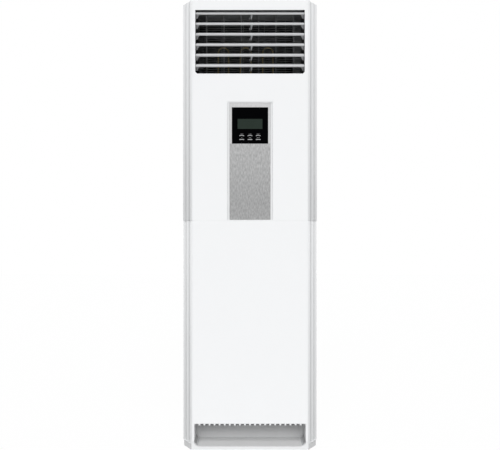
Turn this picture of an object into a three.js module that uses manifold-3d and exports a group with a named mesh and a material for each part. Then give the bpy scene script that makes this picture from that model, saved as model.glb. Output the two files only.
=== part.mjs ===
import * as THREE from 'three';
import { mergeVertices } from 'three/addons/utils/BufferGeometryUtils.js';
import Module from 'manifold-3d';

// Indoor unit of a floor-standing split air conditioner. Sizes are in millimetres and degrees.
// X runs to the right seen from the front, Y to the back and Z up.
// The origin is under the middle of the base.

// Cabinet
const cabinetWidth = 540;
const cabinetHeight = 1776;
const cabinetDepth = 380;
const wingWidth = 41;
const wingDepth = 50;
const seamHeightShare = 0.509;
const seamGap = 0.6;
const clearance = 0.3;
const overrun = 5;
const sheetThickness = 1.5;
const roundSides = 24;
const pinSides = 8;
const cornerSteps = 4;

// Front panels
const skinThickness = 2;
const flangeDepth = 14;

// Corner trims: a rounded roll beside the front panel, then hollow flutes
const trimBodyThickness = 6;
const trimRollHeight = 4;
const trimRollShare = 0.28;
const trimFluteDepth = 2.5;
const trimFlutes = 2;
const trimBandSteps = 4;
const lowerTrimInset = 1.6;

// Side panels with their air slits
const sidePanelInset = 2;
const frontReturnWidth = 20;
const rearReturnWidth = 15;
const slitCount = 20;
const slitPitch = 20;
const slitHeight = 6;
const slitLength = 60;
const slitFrontGap = 10;
const lowestSlitHeight = 170;

// Back panel and its openings
const pipeOpeningWidth = 92;
const pipeOpeningHeight = 54;
const pipeOpeningSideGap = 58;
const pipeOutletHeight = 235;
const openingCornerRadius = 12;
const cableHoleRadius = 11;
const cableHoleSideGap = 65;
const cableHoleHeight = 235;
const drainHoleGap = 1.5;

// Bracket that ties the cabinet to a wall
const bracketThickness = 1.7;
const bracketWidth = 120;
const bracketHeight = 66;
const bracketTopGap = 20;
const bracketHoleRadius = 4;
const bracketHoleSpacing = 70;

// Top cover and the foam under it
const topCoverHeight = 12;
const topCoverThickness = 2;
const foamLift = 4;

// Base plinth
const plinthHeight = 25;
const plinthInset = 4.5;
const plinthFrontLap = 2;
const plinthFloorThickness = 3;
const plinthWall = 3;
const plinthLipHeight = 13;
const lipCornerRadius = 17;
const lipCutHeight = 90;
const stileFootHeight = 31.7;
const stileFootDepth = 13;

// Air inlet recess and its comb grille
const stileWidth = 8.4;
const recessTopHeight = 103;
const recessDepth = 104;
const recessWall = 3;
const recessCornerRadius = 18;
const recessSideGap = 1.6;
const toothPitch = 20;
const toothWidth = 7;
const toothHeight = 6;
const toothFrontGap = 0.5;
const combBarWidth = 6;
const combBarSetback = 47;
const combRearMargin = 6;

// Air outlet window and frame
const windowSideGap = 13;
const windowTopGap = 39;
const windowHeight = 251;
const windowChamfer = 7;
const ductTopRise = 11;
const frameWall = 3;
const frameLip = 6;
const frameDepth = 143.7;
const baffleWidth = 35;
const baffleThickness = 1.5;

// Horizontal louvres and their link bar
const louvreCount = 6;
const louvrePitch = 41.6;
const topLouvreDrop = 3.7;
const louvreChord = 40;
const louvreFrontThickness = 8;
const louvreRearThickness = 3;
const louvreNoseLength = 3;
const louvreNoseThickness = 5.5;
const louvreTilt = 26.5;
const louvreEndGap = 1;
const louvreSetback = 24;
const louvrePinRadius = 2.5;
const louvrePinGrip = 2.6;
const gussetWidth = 16;
const gussetTipWidth = 3.5;
const gussetDepth = 22;
const gussetThickness = 2.5;
const louvreLinkReach = 30;
const louvreLinkDrop = 25;
const linkArmX = 3.2;
const linkArmThickness = 3;
const linkArmEnd = 2.5;
const linkWebWidth = 10.6;
const linkWebThickness = 2;
const linkPinRadius = 1.5;
const linkPinHeadRadius = 3.5;
const linkPinHeadLength = 2.7;
const linkBarDepth = 6;
const linkBarThickness = 2.4;
const linkBarEnd = 4;

// Upright vanes, their link bar, crank and motor
const vaneCount = 6;
const vaneSideGap = 38.5;
const vaneChord = 65;
const vaneSetback = 92.5;
const vaneThickness = 2.4;
const vaneEdgeThickness = 1.2;
const vaneBottomGap = 13;
const vaneTopGap = 3.5;
const vanePinRadius = 2.5;
const vanePinGrip = 2.5;
const crankReach = 26;
const vaneLinkWidth = 8;
const vaneLinkHeight = 5;
const vaneLinkLift = 5;
const vaneLinkEnd = 6;
const crankThickness = 3;
const crankLift = 1;
const crankWidth = 10;
const crankShaftRadius = 3;
const crankShaftLength = 17;
const swingMotorRadius = 24;
const swingMotorHeight = 26;

// Wire guard behind the vanes
const guardWire = 2;
const guardRing = 4;
const guardPitch = 17.4;
const guardUprights = 4;
const guardRearGap = 2;
const guardLap = 0.4;

// Heater tubes and their bracket
const heaterCount = 3;
const heaterPitch = 95;
const heaterShiftX = -18.5;
const heaterTubeRadius = 4;
const heaterBendRadius = 22;
const heaterTopDrop = 88;
const heaterBracketDrop = 46;
const heaterBracketThickness = 3;
const heaterBracketDepth = 28;
const heaterBracketFlange = 16;
const heaterCoilGap = 52.6;
const heaterBendSteps = 10;
const heaterSides = 8;

// Evaporator coil and drain pan
const coilSideGap = 13;
const coilThickness = 44;
const coilTopDrop = 22;
const coilFootY = -45;
const coilFootRise = 42;
const coilTopShift = 160;
const coilEndPlate = 2;
const coilEndPlateLap = 4;
const panSideGap = 22.3;
const panFloorRise = 64;
const panWallHeight = 32;
const panRearY = 5;
const panWall = 2;
const panFrontSideGap = 1;
const panChamferDepth = 26;
const panRestWidth = 20;
const panRestDepth = 12;
const panRestShare = 0.37;
const drainPipeRadius = 9;
const drainPipeSideGap = 32;
const drainPipeY = -20;
const drainPipeBackGap = 70;
const drainOutletHeight = 160;
const drainBendRadius = 30;

// Pipes and flare nuts
const gasPipeRadius = 9.5;
const gasPipeSideGap = 38;
const gasPipeRise = 290;
const gasPipeBackGap = 60;
const gasBendDrop = 120;
const gasBendRadius = 20;
const liquidPipeRadius = 4.8;
const liquidRunSideGap = 56;
const liquidPipeSideGap = 80;
const liquidPipeRise = 90;
const liquidPipeBackGap = 70;
const liquidBendDrop = 60;
const liquidBendRadius = 8;
const liquidTurnHeight = 300;
const pipeBendSteps = 4;
const pipeSides = 8;
const gasNutFlats = 36;
const liquidNutFlats = 22;
const nutSides = 6;
const flareNutLength = 26;
const flareNutEnd = 4;
const flareNutSetback = 4;

// Blower: deck, partition, scroll housing, wheel, motor and filter
const deckHeight = 650;
const deckThickness = 3;
const deckPipeNotchWidth = 50;
const deckPipeNotchDepth = 70;
const deckNotchSideGap = 65;
const deckNotchBackGap = 90;
const deckDrainGap = 4;
const partitionY = -48;
const partitionThickness = 3;
const inletHoleRadius = 118;
const fanCentreHeight = 380;
const scrollStartRadius = 166;
const scrollSideGap = 41.2;
const scrollStartAngle = 83;
const scrollSteps = 24;
const scrollMouthInnerX = 20;
const scrollDepth = 117;
const scrollWall = 2;
const scrollRearThickness = 3;
const scrollMouthInset = 3;
const wheelRadius = 150;
const wheelFrontGap = 8;
const wheelWidth = 99;
const wheelDiscThickness = 3;
const wheelRingThickness = 4;
const wheelBladeCount = 36;
const wheelBladeDepth = 26;
const wheelBladeThickness = 1.6;
const wheelBladeSweep = 8;
const wheelHubRadius = 20;
const wheelHubLength = 18;
const shaftRadius = 6;
const shaftGrip = 34;
const shaftHoleRadius = 10;
const fanMotorRadius = 58;
const fanMotorLength = 75;
const fanMotorFlangeRadius = 72;
const fanMotorFlangeThickness = 4;
const filterSideGap = 39;
const filterBottomHeight = 180;
const filterHeight = 420;
const filterThickness = 12;
const filterRim = 8;
const filterMesh = 2;
const filterBarWidth = 5;
const filterBarShare = 0.25;
const filterLedgeThickness = 4;

// Control area
const controlWidth = 178.8;
const controlFootGap = 3.5;
const controlTopGap = 114;
const bevelDrop = 3.2;
const bevelWidth = 8.3;
const bezelDepth = 9.5;
const bezelFloorDepth = 6.5;
const plateThickness = 3;
const fasciaWidth = 143;
const fasciaTopGap = 19;
const fasciaProud = 1;
const boardOpeningMargin = 8;
const lcdWidth = 98;
const lcdHeight = 39.5;
const lcdRise = 57.8;
const lcdSink = 0.4;
const buttonSpacing = 32.4;
const buttonWidth = 18.4;
const upperButtonHeight = 3.3;
const upperButtonArch = 2.2;
const lowerButtonHeight = 3.5;
const lowerButtonArch = 0.4;
const upperButtonRise = 30.4;
const lowerButtonRise = 15.7;
const buttonArchSteps = 5;
const buttonProud = 1;
const buttonLength = 4.2;
const boxInset = 5;
const boxDrop = 11;
const boxHeight = 162;
const boxDepth = 60;
const boxWall = 2;

// Values worked out from the sizes above
const halfWidth = cabinetWidth / 2;
const frontY = -cabinetDepth / 2;
const backY = cabinetDepth / 2;
const frontHalf = halfWidth - wingWidth;
const frontFlatWidth = 2 * frontHalf;
const wingLength = Math.hypot(wingWidth, wingDepth);
const wingEndY = frontY + wingDepth;
const panelBackY = frontY + skinThickness;
const flangeBackY = frontY + flangeDepth;
const sideOuterX = halfWidth - sidePanelInset;
const sideInnerX = sideOuterX - sheetThickness;
const innerHalf = sideInnerX - clearance;
const backOuterY = backY - bracketThickness - clearance;
const backInnerY = backOuterY - sheetThickness;
const casingBottom = plinthHeight + clearance;
const casingTop = cabinetHeight - topCoverHeight - clearance;
const seamHeight = cabinetHeight * seamHeightShare;
const upperPanelBottom = seamHeight + seamGap / 2;
const lowerPanelTop = seamHeight - seamGap / 2;
const pipeOpeningX = halfWidth - pipeOpeningSideGap;
const cableHoleX = -halfWidth + cableHoleSideGap;
const plinthFrontHalfWidth = frontHalf + plinthFrontLap;
const recessHalf = frontHalf - stileWidth;
const recessWidth = 2 * recessHalf;
const recessInnerHalf = recessHalf - recessSideGap;
const recessBackY = frontY + recessDepth;
const teethEachSide = Math.floor((recessInnerHalf - toothWidth) / toothPitch);
const windowHalf = frontHalf - windowSideGap;
const windowWidth = 2 * windowHalf;
const windowTopHeight = cabinetHeight - windowTopGap;
const windowBottomHeight = windowTopHeight - windowHeight;
const ductTopHeight = windowTopHeight + ductTopRise;
const frameFrontY = panelBackY + clearance;
const frameBackY = frameFrontY + frameDepth;
const pivotY = frontY + louvreSetback;
const topLouvreZ = windowTopHeight - topLouvreDrop;
const linkBarRight = linkArmX - clearance;
const linkBarLeft = linkBarRight - linkBarThickness;
const vaneY = frontY + vaneSetback;
const vanePitch = (windowWidth - 2 * vaneSideGap) / (vaneCount - 1);
const heaterTopHeight = windowTopHeight - heaterTopDrop;
const heaterBracketHeight = windowBottomHeight - heaterBracketDrop;
const panFloorHeight = seamHeight + panFloorRise;
const panWidth = cabinetWidth - 2 * panSideGap;
const panFrontHalfWidth = frontHalf - panFrontSideGap;
const coilWidth = windowWidth - 2 * coilSideGap;
const panRestSpacing = coilWidth * panRestShare;
const coilFootHeight = panFloorHeight + coilFootRise;
const coilRise = windowTopHeight - coilTopDrop - coilFootHeight;
const coilLength = Math.hypot(coilRise, coilTopShift);
const coilAngle = Math.atan2(coilTopShift, coilRise);
const drainPipeX = -halfWidth + drainPipeSideGap;
const drainPipeRunY = backY - drainPipeBackGap;
const pipeEndY = backInnerY - flareNutSetback;
const gasPipeX = halfWidth - gasPipeSideGap;
const gasPipeCoilHeight = coilFootHeight + gasPipeRise;
const gasPipeRunY = backY - gasPipeBackGap;
const liquidPipeX = halfWidth - liquidPipeSideGap;
const liquidPipeRunX = halfWidth - liquidRunSideGap;
const liquidPipeCoilHeight = coilFootHeight + liquidPipeRise;
const liquidPipeRunY = backY - liquidPipeBackGap;
const deckNotchX = halfWidth - deckNotchSideGap;
const deckNotchY = backY - deckNotchBackGap;
const partitionBackY = partitionY + partitionThickness;
const scrollEndRadius = innerHalf - scrollSideGap;
const scrollFrontY = partitionBackY + clearance;
const scrollBackY = scrollFrontY + scrollDepth;
const fanMotorY = scrollBackY + scrollRearThickness + clearance;
const filterWidth = frontFlatWidth - 2 * filterSideGap;
const bezelHalf = controlWidth / 2 - clearance;
const bezelFloorY = frontY + bezelFloorDepth;
const bezelBackY = frontY + bezelDepth;
const controlBottomHeight = upperPanelBottom + controlFootGap;
const controlTopHeight = windowBottomHeight - controlTopGap;
const plateHalf = controlWidth / 2 - bevelWidth - 2 * clearance;
const plateBackY = bezelFloorY - clearance;
const plateFrontY = plateBackY - plateThickness;
const fasciaFrontY = plateFrontY - fasciaProud;
const fasciaBottomHeight = controlTopHeight - fasciaTopGap - fasciaWidth;
const lcdBottomHeight = fasciaBottomHeight + lcdRise;
const upperButtonZ = fasciaBottomHeight + upperButtonRise;
const lowerButtonZ = fasciaBottomHeight + lowerButtonRise;
const boxBottomHeight = fasciaBottomHeight - boxDrop;

// Colour, roughness and metalness of each material
const whitePaint = { color: 0xf4f5f6, roughness: 0.4, metalness: 0 };
const whitePlastic = { color: 0xf4f5f6, roughness: 0.45, metalness: 0 };
const paleGreyPlastic = { color: 0xd2d3d4, roughness: 0.45, metalness: 0 };
const darkPlastic = { color: 0x3c3c3e, roughness: 0.45, metalness: 0 };
const blackGloss = { color: 0x0a0a0c, roughness: 0.15, metalness: 0 };
const displayPlastic = { color: 0x32382f, roughness: 0.1, metalness: 0 };
const silverPlastic = { color: 0xb8babd, roughness: 0.4, metalness: 0.3 };
const foam = { color: 0x3c3c3e, roughness: 0.95, metalness: 0 };
const zincSheet = { color: 0xb8babd, roughness: 0.5, metalness: 0.7 };
const brushedPlate = { color: 0xb8babd, roughness: 0.35, metalness: 0.9 };
const aluminium = { color: 0xb8babd, roughness: 0.5, metalness: 0.8 };
const heatedSteel = { color: 0xb87333, roughness: 0.5, metalness: 0.6 };
const copper = { color: 0xb87333, roughness: 0.35, metalness: 1 };
const brass = { color: 0xc9a655, roughness: 0.3, metalness: 1 };

const wasm = await Module();
wasm.setup();

// Turns a shape drawn in its own plane so that it is pushed out along the named axis.
const turnFor = {
  x: new THREE.Matrix4().makeBasis(
    new THREE.Vector3(0, 1, 0),
    new THREE.Vector3(0, 0, 1),
    new THREE.Vector3(1, 0, 0),
  ),
  y: new THREE.Matrix4().makeRotationX(Math.PI / 2),
  z: new THREE.Matrix4(),
};

function solidFrom(geometry) {
  geometry.deleteAttribute('normal');
  geometry.deleteAttribute('uv');
  const merged = mergeVertices(geometry);
  const vertProperties = new Float32Array(merged.attributes.position.array);
  const triVerts = new Uint32Array(merged.index.array);
  return new wasm.Manifold(new wasm.Mesh({ numProp: 3, vertProperties, triVerts }));
}

function geometryFrom(solid) {
  const mesh = solid.getMesh();
  const geometry = new THREE.BufferGeometry();
  geometry.setAttribute('position', new THREE.BufferAttribute(new Float32Array(mesh.vertProperties), 3));
  geometry.setIndex(new THREE.BufferAttribute(new Uint32Array(mesh.triVerts), 1));
  geometry.computeVertexNormals();
  return geometry;
}

function join(first, ...others) {
  return others.reduce((whole, other) => whole.add(other), first);
}

function cut(body, ...tools) {
  return tools.reduce((rest, tool) => rest.subtract(tool), body);
}

function block(spanX, spanY, spanZ) {
  const spans = [spanX, spanY, spanZ];
  const sizes = spans.map(([low, high]) => high - low);
  const centres = spans.map(([low, high]) => (low + high) / 2);
  const geometry = new THREE.BoxGeometry(...sizes);
  geometry.translate(...centres);
  return solidFrom(geometry);
}

// An outline is drawn as X and Y for axis z, as X and Z for axis y, and as Y and Z for axis x.
function prism(axis, outline, [low, high], holes = []) {
  const shape = new THREE.Shape(outline.map(([a, b]) => new THREE.Vector2(a, b)));
  shape.holes = holes.map((hole) => new THREE.Path(hole.map(([a, b]) => new THREE.Vector2(a, b))));
  const geometry = new THREE.ExtrudeGeometry(shape, { depth: high - low, bevelEnabled: false });
  geometry.translate(0, 0, axis === 'y' ? -high : low);
  geometry.applyMatrix4(turnFor[axis]);
  return solidFrom(geometry);
}

function rectangle([left, right], [low, high]) {
  return [
    [left, low],
    [right, low],
    [right, high],
    [left, high],
  ];
}

function circle([a, b], radius, sides) {
  const points = [];
  for (let step = 0; step < sides; step += 1) {
    const angle = (2 * Math.PI * (step + 1 / 2)) / sides;
    points.push([a + radius * Math.cos(angle), b + radius * Math.sin(angle)]);
  }
  return points;
}

function rod(axis, centre, radius, span, sides = roundSides) {
  return prism(axis, circle(centre, radius, sides), span);
}

function arc([a, b], radius, startAngle, endAngle, steps) {
  const points = [];
  for (let step = 0; step <= steps; step += 1) {
    const angle = startAngle + ((endAngle - startAngle) * step) / steps;
    points.push([a + radius * Math.cos(angle), b + radius * Math.sin(angle)]);
  }
  return points;
}

function roundedRectangle([left, right], [low, high], radius, steps) {
  const quarter = Math.PI / 2;
  return [
    ...arc([right - radius, high - radius], radius, 0, quarter, steps),
    ...arc([left + radius, high - radius], radius, quarter, 2 * quarter, steps),
    ...arc([left + radius, low + radius], radius, 2 * quarter, 3 * quarter, steps),
    ...arc([right - radius, low + radius], radius, 3 * quarter, 4 * quarter, steps),
  ];
}

// Moves every edge of an anticlockwise outline outwards by the distance, or inwards if it is negative.
function offset(outline, distance) {
  const unit = ([a, b], [c, d]) => {
    const length = Math.hypot(c - a, d - b);
    return [(c - a) / length, (d - b) / length];
  };
  return outline.map((point, index) => {
    const before = outline.at(index - 1);
    const after = outline[(index + 1) % outline.length];
    const [inA, inB] = unit(before, point);
    const [outA, outB] = unit(point, after);
    const reach = distance / (1 + inA * outA + inB * outB);
    return [point[0] + (inB + outB) * reach, point[1] - (inA + outA) * reach];
  });
}

// Completes the right half of an anticlockwise outline, drawn from the bottom up, with its mirror image.
function mirrored(rightHalf) {
  const leftHalf = rightHalf.map(([a, b]) => [-a, b]).reverse();
  return [...rightHalf, ...leftHalf];
}

function spanOn(side, near, far) {
  return side > 0 ? [near, far] : [-far, -near];
}

function centred(width) {
  return [-width / 2, width / 2];
}

// A route through given points, which an extruded round section follows.
class PointRoute extends THREE.Curve {
  constructor(points) {
    super();
    this.points = points;
  }

  pointIndex(share) {
    return Math.round(share * (this.points.length - 1));
  }

  getPointAt(share) {
    return this.points[this.pointIndex(share)].clone();
  }

  getTangentAt(share) {
    const index = this.pointIndex(share);
    const before = this.points[Math.max(index - 1, 0)];
    const after = this.points[Math.min(index + 1, this.points.length - 1)];
    return after.clone().sub(before).normalize();
  }
}

// Rounds each inner corner of a route with an arc that touches both of its straight stretches.
function roundedRoute(corners, bendRadius, bendSteps) {
  const points = [corners[0]];
  for (let index = 1; index < corners.length - 1; index += 1) {
    const corner = corners[index];
    const back = corners[index - 1].clone().sub(corner).normalize();
    const ahead = corners[index + 1].clone().sub(corner).normalize();
    const halfAngle = back.angleTo(ahead) / 2;
    const middle = back.clone().add(ahead).normalize();
    const centre = corner.clone().addScaledVector(middle, bendRadius / Math.sin(halfAngle));
    const start = corner.clone().addScaledVector(back, bendRadius / Math.tan(halfAngle)).sub(centre);
    const turn = new THREE.Vector3().crossVectors(ahead, back).normalize();
    const bendAngle = Math.PI - 2 * halfAngle;
    for (let step = 0; step <= bendSteps; step += 1) {
      const spoke = start.clone().applyAxisAngle(turn, (bendAngle * step) / bendSteps);
      points.push(centre.clone().add(spoke));
    }
  }
  points.push(corners.at(-1));
  return points;
}

function tube(points, radius, sides) {
  const section = new THREE.Shape(circle([0, 0], radius, sides).map(([a, b]) => new THREE.Vector2(a, b)));
  const route = new PointRoute(points);
  const settings = { steps: points.length - 1, bevelEnabled: false, extrudePath: route };
  return solidFrom(new THREE.ExtrudeGeometry(section, settings));
}

const model = new THREE.Group();

function place(name, solid, finish, position = [0, 0, 0], turnX = 0) {
  const mesh = new THREE.Mesh(geometryFrom(solid), new THREE.MeshStandardMaterial(finish));
  mesh.name = name;
  mesh.position.set(...position);
  mesh.rotation.x = turnX;
  model.add(mesh);
}

function plinthOutline() {
  return mirrored([
    [plinthFrontHalfWidth, frontY],
    [halfWidth - plinthInset, wingEndY],
    [halfWidth - plinthInset, backOuterY],
  ]);
}

function basePlinth() {
  const outline = plinthOutline();
  const shell = prism('z', outline, [0, plinthHeight]);
  const hollow = prism('z', offset(outline, -plinthWall), [plinthFloorThickness, plinthHeight + overrun]);
  const cornerWebs = [-1, 1].map((side) =>
    block(
      spanOn(side, recessHalf - lipCornerRadius, frontHalf),
      [frontY, frontY + plinthWall],
      [plinthFloorThickness, plinthLipHeight + lipCornerRadius],
    ),
  );
  const lipCut = prism(
    'y',
    roundedRectangle(
      centred(recessWidth),
      [plinthLipHeight, plinthLipHeight + lipCutHeight],
      lipCornerRadius,
      cornerSteps,
    ),
    [frontY - overrun, frontY + plinthWall + overrun],
  );
  const feet = [-1, 1].map((side) =>
    block(
      spanOn(side, recessHalf + clearance, frontHalf),
      [frontY, frontY + stileFootDepth],
      [plinthFloorThickness / 2, stileFootHeight],
    ),
  );
  const walls = join(cut(shell, hollow), ...cornerWebs);
  place('base_plinth', join(cut(walls, lipCut), ...feet), whitePlastic);
}

// The recess in plan: straight sides that turn into the back wall through round corners.
function recessOutline(grow, startY) {
  const half = recessInnerHalf + grow;
  const radius = recessCornerRadius + grow;
  const back = recessBackY + grow;
  const corner = arc([half - radius, back - radius], radius, 0, Math.PI / 2, cornerSteps);
  return mirrored([[half, startY], ...corner]);
}

function combTools(bottom, top) {
  const tools = [];
  const barY = frontY + combBarSetback;
  const slotEnd = recessBackY - combRearMargin;
  const half = recessInnerHalf;
  for (let gap = -teethEachSide - 1; gap <= teethEachSide; gap += 1) {
    const left = Math.max(gap * toothPitch + toothWidth / 2, -half);
    const right = Math.min((gap + 1) * toothPitch - toothWidth / 2, half);
    tools.push(block([left, right], [frontY, barY], [bottom, top]));
    tools.push(block([left, right], [barY + combBarWidth, slotEnd], [bottom, top]));
  }
  return tools;
}

function recessLiner() {
  const wallStart = flangeBackY + clearance;
  const floorStart = frontY + plinthWall + clearance;
  const floorBottom = plinthLipHeight - recessWall;
  const top = recessTopHeight - clearance;
  const combBottom = top - toothHeight;
  const outer = prism('z', recessOutline(recessWall, wallStart), [floorBottom, top]);
  const inner = prism('z', recessOutline(0, wallStart - overrun), [plinthLipHeight, combBottom]);
  const floor = prism('z', recessOutline(0, floorStart), [floorBottom, plinthLipHeight]);
  const comb = prism('z', recessOutline(0, frontY + toothFrontGap), [combBottom, top]);
  const body = join(cut(outer, inner), floor, comb);
  const tools = combTools(combBottom - overrun, top + overrun);
  place('recess_liner', cut(body, ...tools), whitePlastic);
}

// The front panel's window and the taller duct behind it share this outline up to their tops.
function outletOutline(top, grow) {
  const outline = mirrored([
    [windowHalf - windowChamfer, windowBottomHeight],
    [windowHalf, windowBottomHeight + windowChamfer],
    [windowHalf, top],
  ]);
  return offset(outline, grow);
}

// A front panel: a skin with a flange all round its edge.
function panelShell(outline) {
  const whole = prism('y', outline, [frontY, flangeBackY]);
  const hollow = prism('y', offset(outline, -skinThickness), [panelBackY, flangeBackY + overrun]);
  return cut(whole, hollow);
}

function upperFrontPanel() {
  const shell = panelShell(rectangle(centred(frontFlatWidth), [upperPanelBottom, cabinetHeight]));
  const through = [frontY - overrun, flangeBackY + overrun];
  const airWindow = prism('y', outletOutline(windowTopHeight, 0), through);
  const controlCut = prism(
    'y',
    rectangle(centred(controlWidth), [controlBottomHeight, controlTopHeight]),
    through,
  );
  place('upper_front_panel', cut(shell, airWindow, controlCut), whitePaint);
}

function lowerFrontPanel() {
  const outline = mirrored([
    [recessHalf, recessTopHeight],
    [recessHalf, stileFootHeight + clearance],
    [frontHalf, stileFootHeight + clearance],
    [frontHalf, lowerPanelTop],
  ]);
  place('lower_front_panel', panelShell(outline), whitePaint);
}

// A point of the trim's face after a number of bands: its share of the chord, and how far it
// stands out from the chord, or lies behind it where that is negative.
function trimFacePoint(bands) {
  const wave = Math.sin(Math.PI * (bands - Math.floor(bands)));
  if (bands < 1) {
    return [bands * trimRollShare, trimRollHeight * wave];
  }
  return [trimRollShare + ((bands - 1) * (1 - trimRollShare)) / trimFlutes, -trimFluteDepth * wave];
}

// The trim's section in plan for the right side: the fluted face first, then the flat inner face.
function trimOutline(inset) {
  const startX = frontHalf + clearance;
  const runX = halfWidth - inset - startX;
  const length = Math.hypot(runX, wingDepth);
  const points = [];
  const steps = (trimFlutes + 1) * trimBandSteps;
  for (let step = 0; step <= steps; step += 1) {
    const [alongShare, relief] = trimFacePoint(step / trimBandSteps);
    const x = startX + runX * alongShare + (relief * wingDepth) / length;
    const y = frontY + wingDepth * alongShare - (relief * runX) / length;
    points.push([x, y]);
  }
  points.push([startX + runX - (trimBodyThickness * length) / wingDepth, wingEndY]);
  points.push([startX, frontY + (trimBodyThickness * length) / runX]);
  return points;
}

function cornerTrims() {
  const rows = [
    ['upper', 0, [upperPanelBottom, cabinetHeight]],
    ['lower', lowerTrimInset, [casingBottom, lowerPanelTop]],
  ];
  for (const [row, inset, span] of rows) {
    for (const [name, side] of [['left', -1], ['right', 1]]) {
      const outline = trimOutline(inset).map(([x, y]) => [side * x, y]);
      place(`${row}_${name}_trim`, prism('z', outline, span), whitePlastic);
    }
  }
}

function sidePanel(name, side) {
  const height = [casingBottom, casingTop];
  const frontEnd = wingEndY + clearance;
  const rearEnd = backInnerY - clearance;
  const section = [
    [sideOuterX - frontReturnWidth, frontEnd],
    [sideOuterX, frontEnd],
    [sideOuterX, rearEnd],
    [sideOuterX - rearReturnWidth, rearEnd],
    [sideOuterX - rearReturnWidth, rearEnd - sheetThickness],
    [sideInnerX, rearEnd - sheetThickness],
    [sideInnerX, frontEnd + sheetThickness],
    [sideOuterX - frontReturnWidth, frontEnd + sheetThickness],
  ];
  const sheet = prism('z', section.map(([x, y]) => [side * x, y]), height);
  const slits = [];
  for (let index = 0; index < slitCount; index += 1) {
    const low = lowestSlitHeight + index * slitPitch;
    const start = frontEnd + slitFrontGap;
    slits.push(
      block(
        spanOn(side, sideInnerX - sheetThickness, sideOuterX + sheetThickness),
        [start, start + slitLength],
        [low, low + slitHeight],
      ),
    );
  }
  const body = cut(sheet, ...slits);
  place(name, body, whitePaint);
}

function backPanel() {
  const plate = block(centred(2 * sideOuterX), [backInnerY, backOuterY], [casingBottom, casingTop]);
  const through = [backInnerY - overrun, backOuterY + overrun];
  const pipeOpening = prism(
    'y',
    roundedRectangle(
      [pipeOpeningX - pipeOpeningWidth / 2, pipeOpeningX + pipeOpeningWidth / 2],
      [pipeOutletHeight - pipeOpeningHeight / 2, pipeOutletHeight + pipeOpeningHeight / 2],
      openingCornerRadius,
      cornerSteps,
    ),
    through,
  );
  const cableHole = rod('y', [cableHoleX, cableHoleHeight], cableHoleRadius, through);
  const drainHole = rod('y', [drainPipeX, drainOutletHeight], drainPipeRadius + drainHoleGap, through);
  place('back_panel', cut(plate, pipeOpening, cableHole, drainHole), zincSheet);
}

function wallBracket() {
  const top = cabinetHeight - topCoverHeight - bracketTopGap;
  const plateY = [backOuterY + clearance, backY];
  const middle = top - bracketHeight / 2;
  const plate = block(centred(bracketWidth), plateY, [top - bracketHeight, top]);
  const through = [backOuterY, backY + overrun];
  const holes = [-1, 1].map((side) =>
    rod('y', [(side * bracketHoleSpacing) / 2, middle], bracketHoleRadius, through, pinSides),
  );
  place('wall_bracket', cut(plate, ...holes), zincSheet);
}

// The top cover lies behind the upper front panel and between the corner trims.
function topCoverOutline() {
  const trimInnerX = (y) => {
    const innerStart = frontY + (trimBodyThickness * wingLength) / wingWidth;
    return frontHalf + ((y - innerStart) * wingWidth) / wingDepth - 2 * clearance;
  };
  const start = flangeBackY + clearance;
  const shoulder = wingEndY + 2 * clearance;
  return mirrored([
    [trimInnerX(start), start],
    [trimInnerX(shoulder), shoulder],
    [sideOuterX, shoulder],
    [sideOuterX, backOuterY],
  ]);
}

function topCover() {
  const outline = topCoverOutline();
  const bottom = cabinetHeight - topCoverHeight;
  const whole = prism('z', outline, [bottom, cabinetHeight]);
  const hollow = prism(
    'z',
    offset(outline, -topCoverThickness),
    [bottom - overrun, cabinetHeight - topCoverThickness],
  );
  place('top_cover', cut(whole, hollow), whitePaint);
}

function ceilingFoam() {
  const half = sideOuterX - topCoverThickness - clearance;
  const slab = block(
    centred(2 * half),
    [frameBackY + clearance, backInnerY - rearReturnWidth],
    [ductTopHeight + foamLift, cabinetHeight - topCoverThickness - clearance],
  );
  place('ceiling_foam', slab, foam);
}

function louvreHeights() {
  return Array.from({ length: louvreCount }, (_, index) => topLouvreZ - index * louvrePitch);
}

function vanePlaces() {
  const first = (-(vaneCount - 1) * vanePitch) / 2;
  return Array.from({ length: vaneCount }, (_, index) => first + index * vanePitch);
}

function outletFrame() {
  const outer = prism('y', outletOutline(ductTopHeight, frameWall), [frameFrontY, frameBackY]);
  const lip = prism('y', outletOutline(ductTopHeight, frameLip), [frameFrontY, frameFrontY + frameWall]);
  const duct = prism('y', outletOutline(ductTopHeight, 0), [frameFrontY - overrun, frameBackY + overrun]);
  const acrossX = centred(windowWidth + 2 * frameLip + 2 * overrun);
  const acrossZ = [windowBottomHeight - frameLip - overrun, ductTopHeight + frameLip + overrun];
  const louvreHoles = louvreHeights().map((z) =>
    rod('x', [pivotY, z], louvrePinRadius + clearance, acrossX, pinSides),
  );
  const vaneHoles = vanePlaces().map((x) =>
    rod('z', [x, vaneY], vanePinRadius + clearance, acrossZ, pinSides),
  );
  const shaftHole = rod(
    'z',
    [0, vaneY],
    crankShaftRadius + clearance,
    [acrossZ[0], windowBottomHeight + overrun],
    pinSides,
  );
  const baffle = block(
    [windowHalf - baffleWidth, windowHalf + frameWall / 2],
    [frameBackY - baffleThickness, frameBackY],
    [windowBottomHeight + windowChamfer, ductTopHeight + frameWall / 2],
  );
  const body = cut(join(outer, lip), duct, ...louvreHoles, ...vaneHoles, shaftHole);
  place('outlet_frame', join(body, baffle), paleGreyPlastic);
}

function louvreSection() {
  const half = louvreChord / 2;
  return [
    [-half, -louvreNoseThickness / 2],
    [-half + louvreNoseLength, -louvreFrontThickness / 2],
    [half, -louvreRearThickness / 2],
    [half, louvreRearThickness / 2],
    [-half + louvreNoseLength, louvreFrontThickness / 2],
    [-half, louvreNoseThickness / 2],
  ];
}

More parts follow.
